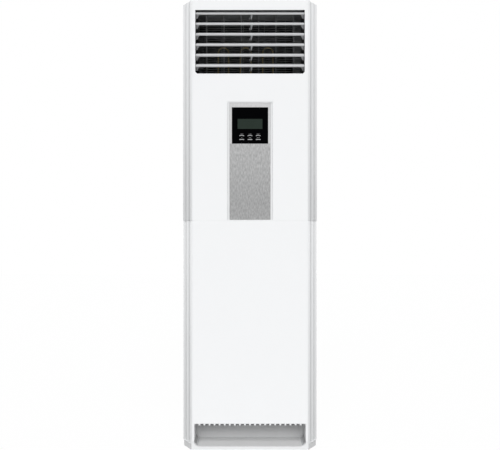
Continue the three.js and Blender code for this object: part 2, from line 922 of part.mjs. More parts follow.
// The arm behind each louvre that carries the link pin, and the web that stiffens it.
function louvreLinkArm() {
  const rear = louvreChord / 2;
  const start = rear - linkArmEnd - linkWebThickness;
  const arm = prism(
    'x',
    [
      [start, -louvreRearThickness / 2 - linkArmEnd],
      [louvreLinkReach - linkArmEnd, -louvreLinkDrop - linkArmEnd],
      [louvreLinkReach + linkArmEnd, -louvreLinkDrop - linkArmEnd],
      [louvreLinkReach + linkArmEnd, -louvreLinkDrop + linkArmEnd],
      [rear, 0],
      [start, 0],
    ],
    [linkArmX, linkArmX + linkArmThickness],
  );
  const web = prism(
    'y',
    [
      [linkArmX, -louvreLinkDrop],
      [linkArmX + linkArmThickness, -louvreLinkDrop],
      [linkArmX + linkWebWidth, 0],
      [linkArmX, 0],
    ],
    [start - linkWebThickness, start],
  );
  const centre = [louvreLinkReach, -louvreLinkDrop];
  const headEnd = linkBarLeft - clearance;
  const headStart = headEnd - linkPinHeadLength;
  const pin = rod('x', centre, linkPinRadius, [headStart, linkArmX + linkArmThickness / 2], pinSides);
  const head = rod('x', centre, linkPinHeadRadius, [headStart, headEnd], 2 * pinSides);
  return join(arm, web, pin, head);
}

function louvres() {
  const half = windowHalf - louvreEndGap;
  const pinEnd = half + louvreEndGap + louvrePinGrip;
  const blade = prism('x', louvreSection(), [-half, half]);
  const gussets = [-1, 1].map((side) =>
    prism(
      'y',
      [
        [side * half, 0],
        [side * half, -gussetDepth],
        [side * (half - gussetTipWidth), -gussetDepth],
        [side * (half - gussetWidth), 0],
      ],
      centred(gussetThickness),
    ),
  );
  const pins = [-1, 1].map((side) =>
    rod('x', [0, 0], louvrePinRadius, spanOn(side, half - gussetWidth, pinEnd), pinSides),
  );
  const body = join(blade, ...gussets, ...pins, louvreLinkArm());
  louvreHeights().forEach((z, index) => {
    const name = `louvre_${index + 1}`;
    place(name, body, paleGreyPlastic, [0, pivotY, z], THREE.MathUtils.degToRad(louvreTilt));
  });
}

function louvreLinkBar() {
  const tilt = THREE.MathUtils.degToRad(louvreTilt);
  const pinY = pivotY + louvreLinkReach * Math.cos(tilt) + louvreLinkDrop * Math.sin(tilt);
  const pinRise = louvreLinkReach * Math.sin(tilt) - louvreLinkDrop * Math.cos(tilt);
  const heights = louvreHeights().map((z) => z + pinRise);
  const bar = block(
    [linkBarLeft, linkBarRight],
    [pinY - linkBarDepth / 2, pinY + linkBarDepth / 2],
    [heights.at(-1) - linkBarEnd, heights[0] + linkBarEnd],
  );
  const through = [linkBarLeft - overrun, linkBarRight + overrun];
  const holes = heights.map((z) =>
    rod('x', [pinY, z], linkPinRadius + clearance, through, pinSides),
  );
  place('louvre_link_bar', cut(bar, ...holes), darkPlastic);
}

function vaneSection() {
  const half = vaneChord / 2;
  const thick = vaneThickness / 2;
  const edge = vaneEdgeThickness / 2;
  return [
    [-edge, -half],
    [edge, -half],
    [thick, 0],
    [edge, half],
    [-edge, half],
    [-thick, 0],
  ];
}

function vanes() {
  const low = windowBottomHeight + vaneBottomGap;
  const high = ductTopHeight - vaneTopGap;
  const plate = prism('z', vaneSection(), [low, high]);
  const pivots = [
    rod('z', [0, 0], vanePinRadius, [windowBottomHeight - vanePinGrip, low + vaneBottomGap], pinSides),
    rod('z', [0, 0], vanePinRadius, [high - vaneBottomGap, ductTopHeight + vanePinGrip], pinSides),
  ];
  const crankPin = rod(
    'z',
    [0, crankReach],
    linkPinRadius,
    [windowBottomHeight + vaneLinkLift + clearance, low + vaneBottomGap / 2],
    pinSides,
  );
  const body = join(plate, ...pivots, crankPin);
  vanePlaces().forEach((x, index) => {
    place(`vane_${index + 1}`, body, darkPlastic, [x, vaneY, 0]);
  });
}

function vaneLinkBar() {
  const places = vanePlaces();
  const pinY = vaneY + crankReach;
  const low = windowBottomHeight + vaneLinkLift;
  const bar = block(
    [places[0] - vaneLinkEnd, places.at(-1) + vaneLinkEnd],
    [pinY - vaneLinkWidth / 2, pinY + vaneLinkWidth / 2],
    [low, low + vaneLinkHeight],
  );
  const through = [low - overrun, low + vaneLinkHeight + overrun];
  const holes = [...places, 0].map((x) =>
    rod('z', [x, pinY], linkPinRadius + clearance, through, pinSides),
  );
  place('vane_link_bar', cut(bar, ...holes), darkPlastic);
}

function swingDrive() {
  const low = windowBottomHeight + crankLift;
  const high = low + crankThickness;
  const shaftBottom = low - crankShaftLength;
  const arm = block(centred(crankWidth), [-crankWidth / 2, crankReach + crankWidth / 2], [low, high]);
  const shaft = rod('z', [0, 0], crankShaftRadius, [shaftBottom, high], pinSides);
  const pin = rod(
    'z',
    [0, crankReach],
    linkPinRadius,
    [low, windowBottomHeight + vaneLinkLift + vaneLinkHeight - clearance],
    pinSides,
  );
  place('swing_crank', join(arm, shaft, pin), zincSheet, [0, vaneY, 0]);

  const top = windowBottomHeight - frameWall - clearance;
  const body = rod('z', [0, vaneY], swingMotorRadius, [top - swingMotorHeight, top]);
  const bore = rod(
    'z',
    [0, vaneY],
    crankShaftRadius + clearance,
    [shaftBottom - clearance, top + overrun],
    pinSides,
  );
  place('swing_motor', cut(body, bore), zincSheet);
}

function outletGuard() {
  const rearY = frameBackY - guardRearGap;
  const outline = outletOutline(ductTopHeight, -clearance);
  const inner = outletOutline(ductTopHeight, -clearance - guardRing);
  const ring = prism('y', outline, [rearY - guardRing, rearY], [inner]);
  const half = windowHalf - clearance - guardRing / 2;
  const wires = [];
  const bottom = windowBottomHeight + guardRing;
  for (let z = bottom + guardPitch; z + guardWire < ductTopHeight - guardRing; z += guardPitch) {
    const frontLayer = [rearY - guardRing, rearY - guardRing + guardWire];
    wires.push(block([-half, half], frontLayer, [z, z + guardWire]));
  }
  const uprightPitch = (2 * half) / (guardUprights + 1);
  for (let index = 1; index <= guardUprights; index += 1) {
    const x = -half + index * uprightPitch;
    const rearLayer = [rearY - guardRing + guardWire - guardLap, rearY - guardLap];
    const span = [windowBottomHeight + guardRing / 2, ductTopHeight - guardRing / 2];
    wires.push(block([x, x + guardWire], rearLayer, span));
  }
  place('outlet_guard', join(ring, ...wires), darkPlastic);
}

function heaters() {
  const bracketTop = heaterBracketHeight;
  const y = coilMiddleY(bracketTop) - heaterCoilGap;
  const front = y - heaterBracketDepth / 2;
  const bracket = join(
    block(
      centred(2 * innerHalf),
      [front, front + heaterBracketDepth],
      [bracketTop - heaterBracketThickness, bracketTop],
    ),
    block(
      centred(2 * innerHalf),
      [front, front + heaterBracketThickness],
      [bracketTop - heaterBracketFlange, bracketTop],
    ),
  );
  place('heater_bracket', bracket, zincSheet);

  const centreZ = heaterTopHeight - heaterTubeRadius - heaterBendRadius;
  const bend = arc([0, centreZ], heaterBendRadius, Math.PI, 0, heaterBendSteps);
  const legFoot = bracketTop + clearance;
  const outline = [[-heaterBendRadius, legFoot], ...bend, [heaterBendRadius, legFoot]];
  const hairpin = tube(
    outline.map(([x, z]) => new THREE.Vector3(x, 0, z)),
    heaterTubeRadius,
    heaterSides,
  );
  for (let index = 0; index < heaterCount; index += 1) {
    const x = heaterShiftX + (index - (heaterCount - 1) / 2) * heaterPitch;
    place(`heater_${index + 1}`, hairpin, heatedSteel, [x, y, 0]);
  }
}

function evaporatorCoil() {
  const slab = block(centred(coilWidth), centred(coilThickness), [0, coilLength]);
  const plates = [-1, 1].map((side) =>
    block(
      spanOn(side, coilWidth / 2, coilWidth / 2 + coilEndPlate),
      centred(coilThickness + 2 * coilEndPlateLap),
      [0, coilLength],
    ),
  );
  const foot = [0, coilFootY, coilFootHeight];
  place('evaporator_coil', join(slab, ...plates), aluminium, foot, -coilAngle);
}

function panOutline() {
  const front = flangeBackY + clearance;
  return mirrored([
    [panFrontHalfWidth, front],
    [panWidth / 2, front + panChamferDepth],
    [panWidth / 2, panRearY],
  ]);
}

function drainPan() {
  const outline = panOutline();
  const top = panFloorHeight + panWallHeight;
  const whole = prism('z', outline, [panFloorHeight, top]);
  const hollow = prism('z', offset(outline, -panWall), [panFloorHeight + panWall, top + overrun]);
  const lowCornerY = coilFootY + (coilThickness / 2) * Math.cos(coilAngle);
  const lowCornerZ = coilFootHeight - (coilThickness / 2) * Math.sin(coilAngle);
  const rests = [-1, 0, 1].map((step) =>
    block(
      [step * panRestSpacing - panRestWidth / 2, step * panRestSpacing + panRestWidth / 2],
      [lowCornerY - panRestDepth / 2, lowCornerY + panRestDepth / 2],
      [panFloorHeight + panWall / 2, lowCornerZ - clearance],
    ),
  );
  place('drain_pan', join(cut(whole, hollow), ...rests), paleGreyPlastic);

  const corners = [
    new THREE.Vector3(drainPipeX, drainPipeY, panFloorHeight - clearance),
    new THREE.Vector3(drainPipeX, drainPipeY, drainOutletHeight + drainPipeRunY),
    new THREE.Vector3(drainPipeX, drainPipeRunY, drainOutletHeight),
    new THREE.Vector3(drainPipeX, backOuterY, drainOutletHeight),
  ];
  const route = roundedRoute(corners, drainBendRadius, pipeBendSteps);
  place('drain_pipe', tube(route, drainPipeRadius, pipeSides), paleGreyPlastic);
}

// The coil's middle at a height, where the pipes meet its end plate.
function coilMiddleY(height) {
  return coilFootY + (height - coilFootHeight) * Math.tan(coilAngle);
}

function flareNut(name, x, flats, pipeRadius) {
  const start = pipeEndY - flareNutLength;
  const hexagon = circle([x, pipeOutletHeight], flats / (2 * Math.cos(Math.PI / nutSides)), nutSides);
  const body = prism('y', hexagon, [start, pipeEndY]);
  const bore = rod(
    'y',
    [x, pipeOutletHeight],
    pipeRadius + clearance,
    [start - overrun, pipeEndY - flareNutEnd],
    2 * pipeSides,
  );
  place(name, cut(body, bore), brass);
}

function pipes() {
  const startX = coilWidth / 2 + coilEndPlate + clearance;
  const endY = pipeEndY - flareNutEnd - clearance;
  const gasY = coilMiddleY(gasPipeCoilHeight);
  const gasCorners = [
    new THREE.Vector3(startX, gasY, gasPipeCoilHeight),
    new THREE.Vector3(gasPipeX, gasY, gasPipeCoilHeight),
    new THREE.Vector3(gasPipeX, gasPipeRunY, gasPipeCoilHeight - gasBendDrop),
    new THREE.Vector3(gasPipeX, gasPipeRunY, pipeOutletHeight),
    new THREE.Vector3(gasPipeX, endY, pipeOutletHeight),
  ];
  const gasRoute = roundedRoute(gasCorners, gasBendRadius, pipeBendSteps);
  place('gas_pipe', tube(gasRoute, gasPipeRadius, pipeSides), copper);

  const liquidY = coilMiddleY(liquidPipeCoilHeight);
  const liquidCorners = [
    new THREE.Vector3(startX, liquidY, liquidPipeCoilHeight),
    new THREE.Vector3(liquidPipeRunX, liquidY, liquidPipeCoilHeight),
    new THREE.Vector3(liquidPipeRunX, liquidPipeRunY, liquidPipeCoilHeight - liquidBendDrop),
    new THREE.Vector3(liquidPipeRunX, liquidPipeRunY, liquidTurnHeight),
    new THREE.Vector3(liquidPipeX, gasPipeRunY, pipeOutletHeight),
    new THREE.Vector3(liquidPipeX, endY, pipeOutletHeight),
  ];
  const liquidRoute = roundedRoute(liquidCorners, liquidBendRadius, pipeBendSteps);
  place('liquid_pipe', tube(liquidRoute, liquidPipeRadius, pipeSides), copper);

  flareNut('gas_flare_nut', gasPipeX, gasNutFlats, gasPipeRadius);
  flareNut('liquid_flare_nut', liquidPipeX, liquidNutFlats, liquidPipeRadius);
}

function blowerDeck() {
  const rear = backInnerY - clearance - sheetThickness - clearance;
  const through = [deckHeight - overrun, deckHeight + deckThickness + overrun];
  const height = [deckHeight, deckHeight + deckThickness];
  const plate = block(centred(2 * innerHalf), [partitionY, rear], height);
  const mouth = block(
    [scrollMouthInnerX + scrollMouthInset, scrollEndRadius - scrollMouthInset],
    [scrollFrontY + scrollMouthInset, scrollBackY - scrollMouthInset],
    through,
  );
  const pipeNotch = block(
    [deckNotchX, deckNotchX + deckPipeNotchWidth],
    [deckNotchY, deckNotchY + deckPipeNotchDepth],
    through,
  );
  const drainHole = rod('z', [drainPipeX, drainPipeY], drainPipeRadius + deckDrainGap, through);
  place('blower_deck', cut(plate, mouth, pipeNotch, drainHole), zincSheet);
}

function fanPartition() {
  const plate = block(
    centred(2 * innerHalf),
    [partitionY, partitionBackY],
    [casingBottom, deckHeight - clearance],
  );
  const inlet = rod(
    'y',
    [0, fanCentreHeight],
    inletHoleRadius,
    [partitionY - overrun, partitionBackY + overrun],
  );
  const ledgeTop = filterBottomHeight - clearance;
  const ledge = block(
    centred(filterWidth),
    [partitionY - filterThickness - clearance, partitionY + partitionThickness / 2],
    [ledgeTop - filterLedgeThickness, ledgeTop],
  );
  place('fan_partition', join(cut(plate, inlet), ledge), zincSheet);
}

// The scroll's wall opens steadily from the tongue round to the mouth.
// From there two straight walls lead up to the deck.
function scrollOutline(grow, top) {
  const startAngle = THREE.MathUtils.degToRad(scrollStartAngle);
  const points = [];
  for (let step = 0; step <= scrollSteps; step += 1) {
    const turnShare = step / scrollSteps;
    const angle = startAngle + (2 * Math.PI - startAngle) * turnShare;
    const radius = scrollStartRadius + (scrollEndRadius - scrollStartRadius) * turnShare + grow;
    points.push([radius * Math.cos(angle), fanCentreHeight + radius * Math.sin(angle)]);
  }
  points.push([scrollEndRadius + grow, top]);
  points.push([scrollMouthInnerX - grow, top]);
  return points;
}

function scrollHousing() {
  const top = deckHeight - clearance;
  const rearSpan = [scrollBackY, scrollBackY + scrollRearThickness];
  const outer = prism('y', scrollOutline(0, top), [scrollFrontY, scrollBackY]);
  const inner = prism(
    'y',
    scrollOutline(-scrollWall, top + overrun),
    [scrollFrontY - overrun, scrollBackY + overrun],
  );
  const rear = prism('y', scrollOutline(0, top), rearSpan);
  const shaftHole = rod(
    'y',
    [0, fanCentreHeight],
    shaftHoleRadius,
    [scrollBackY - overrun, scrollBackY + scrollRearThickness + overrun],
  );
  place('scroll_housing', cut(join(cut(outer, inner), rear), shaftHole), zincSheet);
}

function wheelBlade(angle, span) {
  const inner = wheelRadius - wheelBladeDepth;
  const outer = wheelRadius - wheelBladeThickness;
  const sweep = THREE.MathUtils.degToRad(wheelBladeSweep);
  const half = wheelBladeThickness / 2;
  const at = (radius, turn, shift) => [
    radius * Math.cos(turn) - shift * Math.sin(turn),
    fanCentreHeight + radius * Math.sin(turn) + shift * Math.cos(turn),
  ];
  const outline = [
    at(inner, angle, -half),
    at(outer, angle + sweep, -half),
    at(outer, angle + sweep, half),
    at(inner, angle, half),
  ];
  return prism('y', outline, span);
}

function fanWheel() {
  const front = scrollFrontY + wheelFrontGap;
  const back = front + wheelWidth;
  const centre = [0, fanCentreHeight];
  const disc = rod('y', centre, wheelRadius, [back - wheelDiscThickness, back], wheelBladeCount);
  const ringOuter = circle(centre, wheelRadius, wheelBladeCount);
  const ringInner = circle(centre, wheelRadius - wheelBladeDepth, wheelBladeCount);
  const ring = prism('y', ringOuter, [front, front + wheelRingThickness], [ringInner]);
  const blades = [];
  for (let index = 0; index < wheelBladeCount; index += 1) {
    const angle = (2 * Math.PI * index) / wheelBladeCount;
    const span = [front + wheelRingThickness / 2, back - wheelDiscThickness / 2];
    blades.push(wheelBlade(angle, span));
  }
  const hub = rod('y', centre, wheelHubRadius, [back - wheelHubLength, back]);
  const shaft = rod('y', centre, shaftRadius, [back - wheelHubLength, fanMotorY + shaftGrip], pinSides);
  place('fan_wheel', join(disc, ring, hub, shaft, ...blades), darkPlastic);
}

function fanMotor() {
  const centre = [0, fanCentreHeight];
  const flange = rod('y', centre, fanMotorFlangeRadius, [fanMotorY, fanMotorY + fanMotorFlangeThickness]);
  const body = rod('y', centre, fanMotorRadius, [fanMotorY, fanMotorY + fanMotorLength]);
  const bore = rod(
    'y',
    centre,
    (shaftRadius + clearance) / Math.cos(Math.PI / pinSides),
    [fanMotorY - overrun, fanMotorY + shaftGrip + clearance],
    pinSides,
  );
  place('fan_motor', cut(join(flange, body), bore), zincSheet);
}

function airFilter() {
  const back = partitionY - clearance;
  const front = back - filterThickness;
  const top = filterBottomHeight + filterHeight;
  const half = filterWidth / 2;
  const whole = block([-half, half], [front, back], [filterBottomHeight, top]);
  const hollow = block(
    [-half + filterRim, half - filterRim],
    [front - overrun, back - filterMesh],
    [filterBottomHeight + filterRim, top - filterRim],
  );
  const bars = [-1, 0, 1].map((step) => {
    const x = step * filterBarShare * filterWidth;
    return block(
      [x - filterBarWidth / 2, x + filterBarWidth / 2],
      [front + filterMesh, back - filterMesh / 2],
      [filterBottomHeight + filterRim / 2, top - filterRim / 2],
    );
  });
  place('air_filter', join(cut(whole, hollow), ...bars), darkPlastic);
}

function controlBezel() {
  const section = [
    [-bezelHalf, frontY],
    [-bezelHalf, bezelBackY],
    [bezelHalf, bezelBackY],
    [bezelHalf, frontY],
    [bezelHalf - bevelWidth, frontY + bevelDrop],
    [bezelHalf - bevelWidth, bezelFloorY],
    [-bezelHalf + bevelWidth, bezelFloorY],
    [-bezelHalf + bevelWidth, frontY + bevelDrop],
  ];
  const span = [controlBottomHeight + clearance, controlTopHeight - clearance];
  const boardHalf = fasciaWidth / 2 - boardOpeningMargin;
  const boardOpening = block(
    [-boardHalf, boardHalf],
    [bezelFloorY - overrun, bezelBackY + overrun],
    [fasciaBottomHeight + boardOpeningMargin, fasciaBottomHeight + fasciaWidth - boardOpeningMargin],
  );
  place('control_bezel', cut(prism('z', section, span), boardOpening), whitePlastic);
}

function trimPlate() {
  const outline = rectangle(
    [-plateHalf, plateHalf],
    [controlBottomHeight + 2 * clearance, controlTopHeight - 2 * clearance],
  );
  const half = fasciaWidth / 2 + clearance;
  const top = fasciaBottomHeight + fasciaWidth;
  const opening = rectangle([-half, half], [fasciaBottomHeight - clearance, top + clearance]);
  place('trim_plate', prism('y', outline, [plateFrontY, plateBackY], [opening]), brushedPlate);
}

// A bar whose long sides are arched, like a shallow smile turned upside down.
function archedBar([x, z], width, height, arch, grow) {
  const half = width / 2;
  const top = [];
  const bottom = [];
  for (let step = 0; step <= buttonArchSteps; step += 1) {
    const acrossShare = (2 * step) / buttonArchSteps - 1;
    const rise = arch * (1 - acrossShare ** 2);
    bottom.push([x + half * acrossShare, z - height / 2 + rise]);
    top.unshift([x + half * acrossShare, z + height / 2 + rise]);
  }
  return offset([...bottom, ...top], grow);
}

function buttonPlaces() {
  const rows = [
    [upperButtonZ, upperButtonHeight, upperButtonArch],
    [lowerButtonZ, lowerButtonHeight, lowerButtonArch],
  ];
  return rows.flatMap(([z, height, arch]) =>
    [-1, 0, 1].map((column) => ({ centre: [column * buttonSpacing, z], height, arch })),
  );
}

function displayFascia() {
  const outline = rectangle(centred(fasciaWidth), [fasciaBottomHeight, fasciaBottomHeight + fasciaWidth]);
  const lcdHole = rectangle(
    centred(lcdWidth + 2 * clearance),
    [lcdBottomHeight - clearance, lcdBottomHeight + lcdHeight + clearance],
  );
  const buttonHoles = buttonPlaces().map(({ centre, height, arch }) =>
    archedBar(centre, buttonWidth, height, arch, clearance),
  );
  const holes = [lcdHole, ...buttonHoles];
  place('display_fascia', prism('y', outline, [fasciaFrontY, plateBackY], holes), blackGloss);

  const lcd = block(
    centred(lcdWidth),
    [fasciaFrontY + lcdSink, plateBackY],
    [lcdBottomHeight, lcdBottomHeight + lcdHeight],
  );
  place('lcd_window', lcd, displayPlastic);
}

function buttons() {
  buttonPlaces().forEach(({ centre, height, arch }, index) => {
    const front = fasciaFrontY - buttonProud;
    const bar = prism('y', archedBar(centre, buttonWidth, height, arch, 0), [front, front + buttonLength]);
    place(`button_${index + 1}`, bar, silverPlastic);
  });
}

function controlBox() {
  const front = bezelBackY + clearance;
  const half = bezelHalf - boxInset;
  const top = boxBottomHeight + boxHeight;
  const whole = block([-half, half], [front, front + boxDepth], [boxBottomHeight, top]);
  const hollow = block(
    [-half + boxWall, half - boxWall],
    [front - overrun, front + boxDepth - boxWall],
    [boxBottomHeight + boxWall, top - boxWall],
  );
  place('control_box', cut(whole, hollow), darkPlastic);
}

basePlinth();
recessLiner();
upperFrontPanel();
lowerFrontPanel();
cornerTrims();
sidePanel('left_side_panel', -1);
sidePanel('right_side_panel', 1);
backPanel();
wallBracket();
topCover();
ceilingFoam();
outletFrame();
louvres();
louvreLinkBar();
vanes();
vaneLinkBar();
swingDrive();
outletGuard();
heaters();
evaporatorCoil();
drainPan();
pipes();
blowerDeck();
fanPartition();
scrollHousing();
fanWheel();
fanMotor();
airFilter();
controlBezel();
trimPlate();
displayFascia();
buttons();
controlBox();

export default model;
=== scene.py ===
"""Indoor unit of a floor-standing air conditioner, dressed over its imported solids.

Every length is in metres, in the same frame as the solids: +X to the right seen from the front,
+Y to the back and +Z up, with the origin on the floor under the middle of the base.
"""

import logging
import math
from dataclasses import dataclass
from enum import Enum
from functools import cached_property
from typing import Callable, Iterable, Sequence

import bmesh
import bpy
from mathutils import Matrix, Vector


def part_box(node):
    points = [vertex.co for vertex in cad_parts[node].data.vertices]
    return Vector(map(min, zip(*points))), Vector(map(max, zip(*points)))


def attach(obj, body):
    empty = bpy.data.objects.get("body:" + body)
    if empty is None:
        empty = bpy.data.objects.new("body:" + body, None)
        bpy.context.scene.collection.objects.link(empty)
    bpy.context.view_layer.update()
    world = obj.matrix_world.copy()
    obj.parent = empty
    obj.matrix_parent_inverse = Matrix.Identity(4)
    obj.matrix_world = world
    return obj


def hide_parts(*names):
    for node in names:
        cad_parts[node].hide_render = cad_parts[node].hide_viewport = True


Point = tuple[float, float, float]
Flat = tuple[float, float]
Socket = bpy.types.NodeSocket

LOG = logging.getLogger("air_conditioner")
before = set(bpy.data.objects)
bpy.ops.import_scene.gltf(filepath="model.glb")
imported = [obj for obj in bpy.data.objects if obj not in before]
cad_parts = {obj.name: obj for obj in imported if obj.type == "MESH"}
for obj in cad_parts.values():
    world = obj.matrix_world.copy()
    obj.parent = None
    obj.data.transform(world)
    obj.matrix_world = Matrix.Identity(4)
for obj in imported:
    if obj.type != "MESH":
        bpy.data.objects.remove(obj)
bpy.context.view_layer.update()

# Places, sizes and counts that several sub-assemblies share

SIDES = (-1, 1)
FRONT_Y = -0.19
FRONT_HALF = 0.229
HALF_WIDTH = 0.27
WING_DEPTH = 0.05
GAP = 0.0003
WELD = 0.000001
HEXAGON = 6
ORIGIN = (0.0, 0.0, 0.0)
EVEN = (1.0, 1.0, 1.0)
BACKWARDS = Vector((0.0, 1.0, 0.0))


# Finishes


class Pattern(Enum):
    """What the surface of a finish shows from close by, with the name of its node group."""

    GRAIN = "surface grain"
    SPANGLE = "zinc spangle"


class Wiring:
    """A node tree in the making."""

    def __init__(self, tree: bpy.types.NodeTree) -> None:
        """Takes the tree that the nodes go into."""
        self.tree = tree

    def feed(self, node: bpy.types.Node, inputs: dict[str | int, object]) -> None:
        """Feeds the inputs of a node.

        Args:
            node: the node.
            inputs: for the name or number of each input, the socket that feeds it or its plain value.
        """
        for label, value in inputs.items():
            if isinstance(value, Socket):
                self.tree.links.new(value, node.inputs[label])
            else:
                node.inputs[label].default_value = value

    def add(self, kind: str, inputs: dict[str | int, object], **settings: object) -> bpy.types.Node:
        """Adds a node.

        Args:
            kind: its type, without the word that the types of all shader nodes start with.
            inputs: what feeds its inputs.
            settings: its other settings.

        Returns:
            The node.
        """
        node = self.tree.nodes.new(f"ShaderNode{kind}")
        for label, value in settings.items():
            setattr(node, label, value)
        self.feed(node, inputs)
        return node

    def math(self, operation: str, first: Socket, second: object) -> Socket:
        """Returns what an operation makes of two values."""
        return self.add("Math", {0: first, 1: second}, operation=operation).outputs[0]

    def mix(self, share: object, first: object, second: object, blend: str = "MIX") -> Socket:
        """Returns the mix of two colours."""
        inputs = {"Factor": share, "A": first, "B": second}
        return self.add("Mix", inputs, data_type="RGBA", blend_type=blend).outputs["Result"]


class ShaderKit:
    """Node groups that more than one finish uses, each built once."""

    GRAIN_SCALE = 900.0
    CLOUD_SCALE = 9.0
    GRAIN_DETAIL = 3.0
    DUST_SLOPE = 0.2
    DUST_AMOUNT = 0.1
    SPECK_SCALE = 60.0
    SPECK_DETAIL = 4.0

    @staticmethod
    def _begin(name: str, inputs: dict[str, object], outputs: Iterable[str]) -> Wiring:
        """Starts a shader group with its sockets.

        Args:
            name: the group's name.
            inputs: each input's name with its default, a number or a triple for a vector.
            outputs: the names of the number outputs.

        Returns:
            The wiring of the group, which has an input and an output node.
        """
        group = bpy.data.node_groups.new(name, "ShaderNodeTree")
        for label, default in inputs.items():
            kind = "NodeSocketVector" if isinstance(default, tuple) else "NodeSocketFloat"
            group.interface.new_socket(label, in_out="INPUT", socket_type=kind).default_value = default
        for label in outputs:
            group.interface.new_socket(label, in_out="OUTPUT", socket_type="NodeSocketFloat")
        group.nodes.new("NodeGroupInput")
        group.nodes.new("NodeGroupOutput")
        return Wiring(group)

    @classmethod
    def surface(cls, pattern: Pattern) -> bpy.types.NodeTree:
        """Makes the group of a pattern: fine grain that can be drawn out along an axis, and broad clouds.

        Args:
            pattern: whether the grain is noise or zinc crystals.

        Returns:
            The group.
        """
        found = bpy.data.node_groups.get(pattern.value)
        if found:
            return found
        scales = {"Grain Scale": cls.GRAIN_SCALE, "Cloud Scale": cls.CLOUD_SCALE}
        wiring = cls._begin(pattern.value, {"Vector": ORIGIN, "Stretch": EVEN, **scales}, ("Grain", "Cloud"))
        source = wiring.tree.nodes["Group Input"].outputs
        drawn = wiring.add("VectorMath", {0: source["Vector"], 1: source["Stretch"]}, operation="MULTIPLY")
        place = {"Vector": drawn.outputs[0], "Scale": source["Grain Scale"]}
        if pattern is Pattern.SPANGLE:
            crystals = wiring.add("TexVoronoi", place)
            grain = wiring.add("SeparateColor", {"Color": crystals.outputs["Color"]}).outputs["Red"]
        else:
            grain = wiring.add("TexNoise", {**place, "Detail": cls.GRAIN_DETAIL}).outputs["Fac"]
        cloud = wiring.add("TexNoise", {"Vector": source["Vector"], "Scale": source["Cloud Scale"]})
        wiring.feed(wiring.tree.nodes["Group Output"], {"Grain": grain, "Cloud": cloud.outputs["Fac"]})
        return wiring.tree

    @classmethod
    def dust(cls) -> bpy.types.NodeTree:
        """Makes the group of settled dust.

        Returns:
            The group, whose mask is strongest on faces that look up.
        """
        found = bpy.data.node_groups.get("settled dust")
        if found:
            return found
        wiring = cls._begin("settled dust", {"Vector": ORIGIN, "Amount": cls.DUST_AMOUNT}, ("Mask",))
        source = wiring.tree.nodes["Group Input"].outputs
        normal = wiring.add("NewGeometry", {}).outputs["Normal"]
        upward = wiring.add("SeparateXYZ", {0: normal}).outputs["Z"]
        lift = wiring.add("MapRange", {"Value": upward, "From Min": cls.DUST_SLOPE}).outputs["Result"]
        place = {"Vector": source["Vector"], "Scale": cls.SPECK_SCALE, "Detail": cls.SPECK_DETAIL}
        patchy = wiring.math("MULTIPLY", lift, wiring.add("TexNoise", place).outputs["Fac"])
        mask = wiring.math("MULTIPLY", patchy, source["Amount"])
        wiring.feed(wiring.tree.nodes["Group Output"], {"Mask": mask})
        return wiring.tree


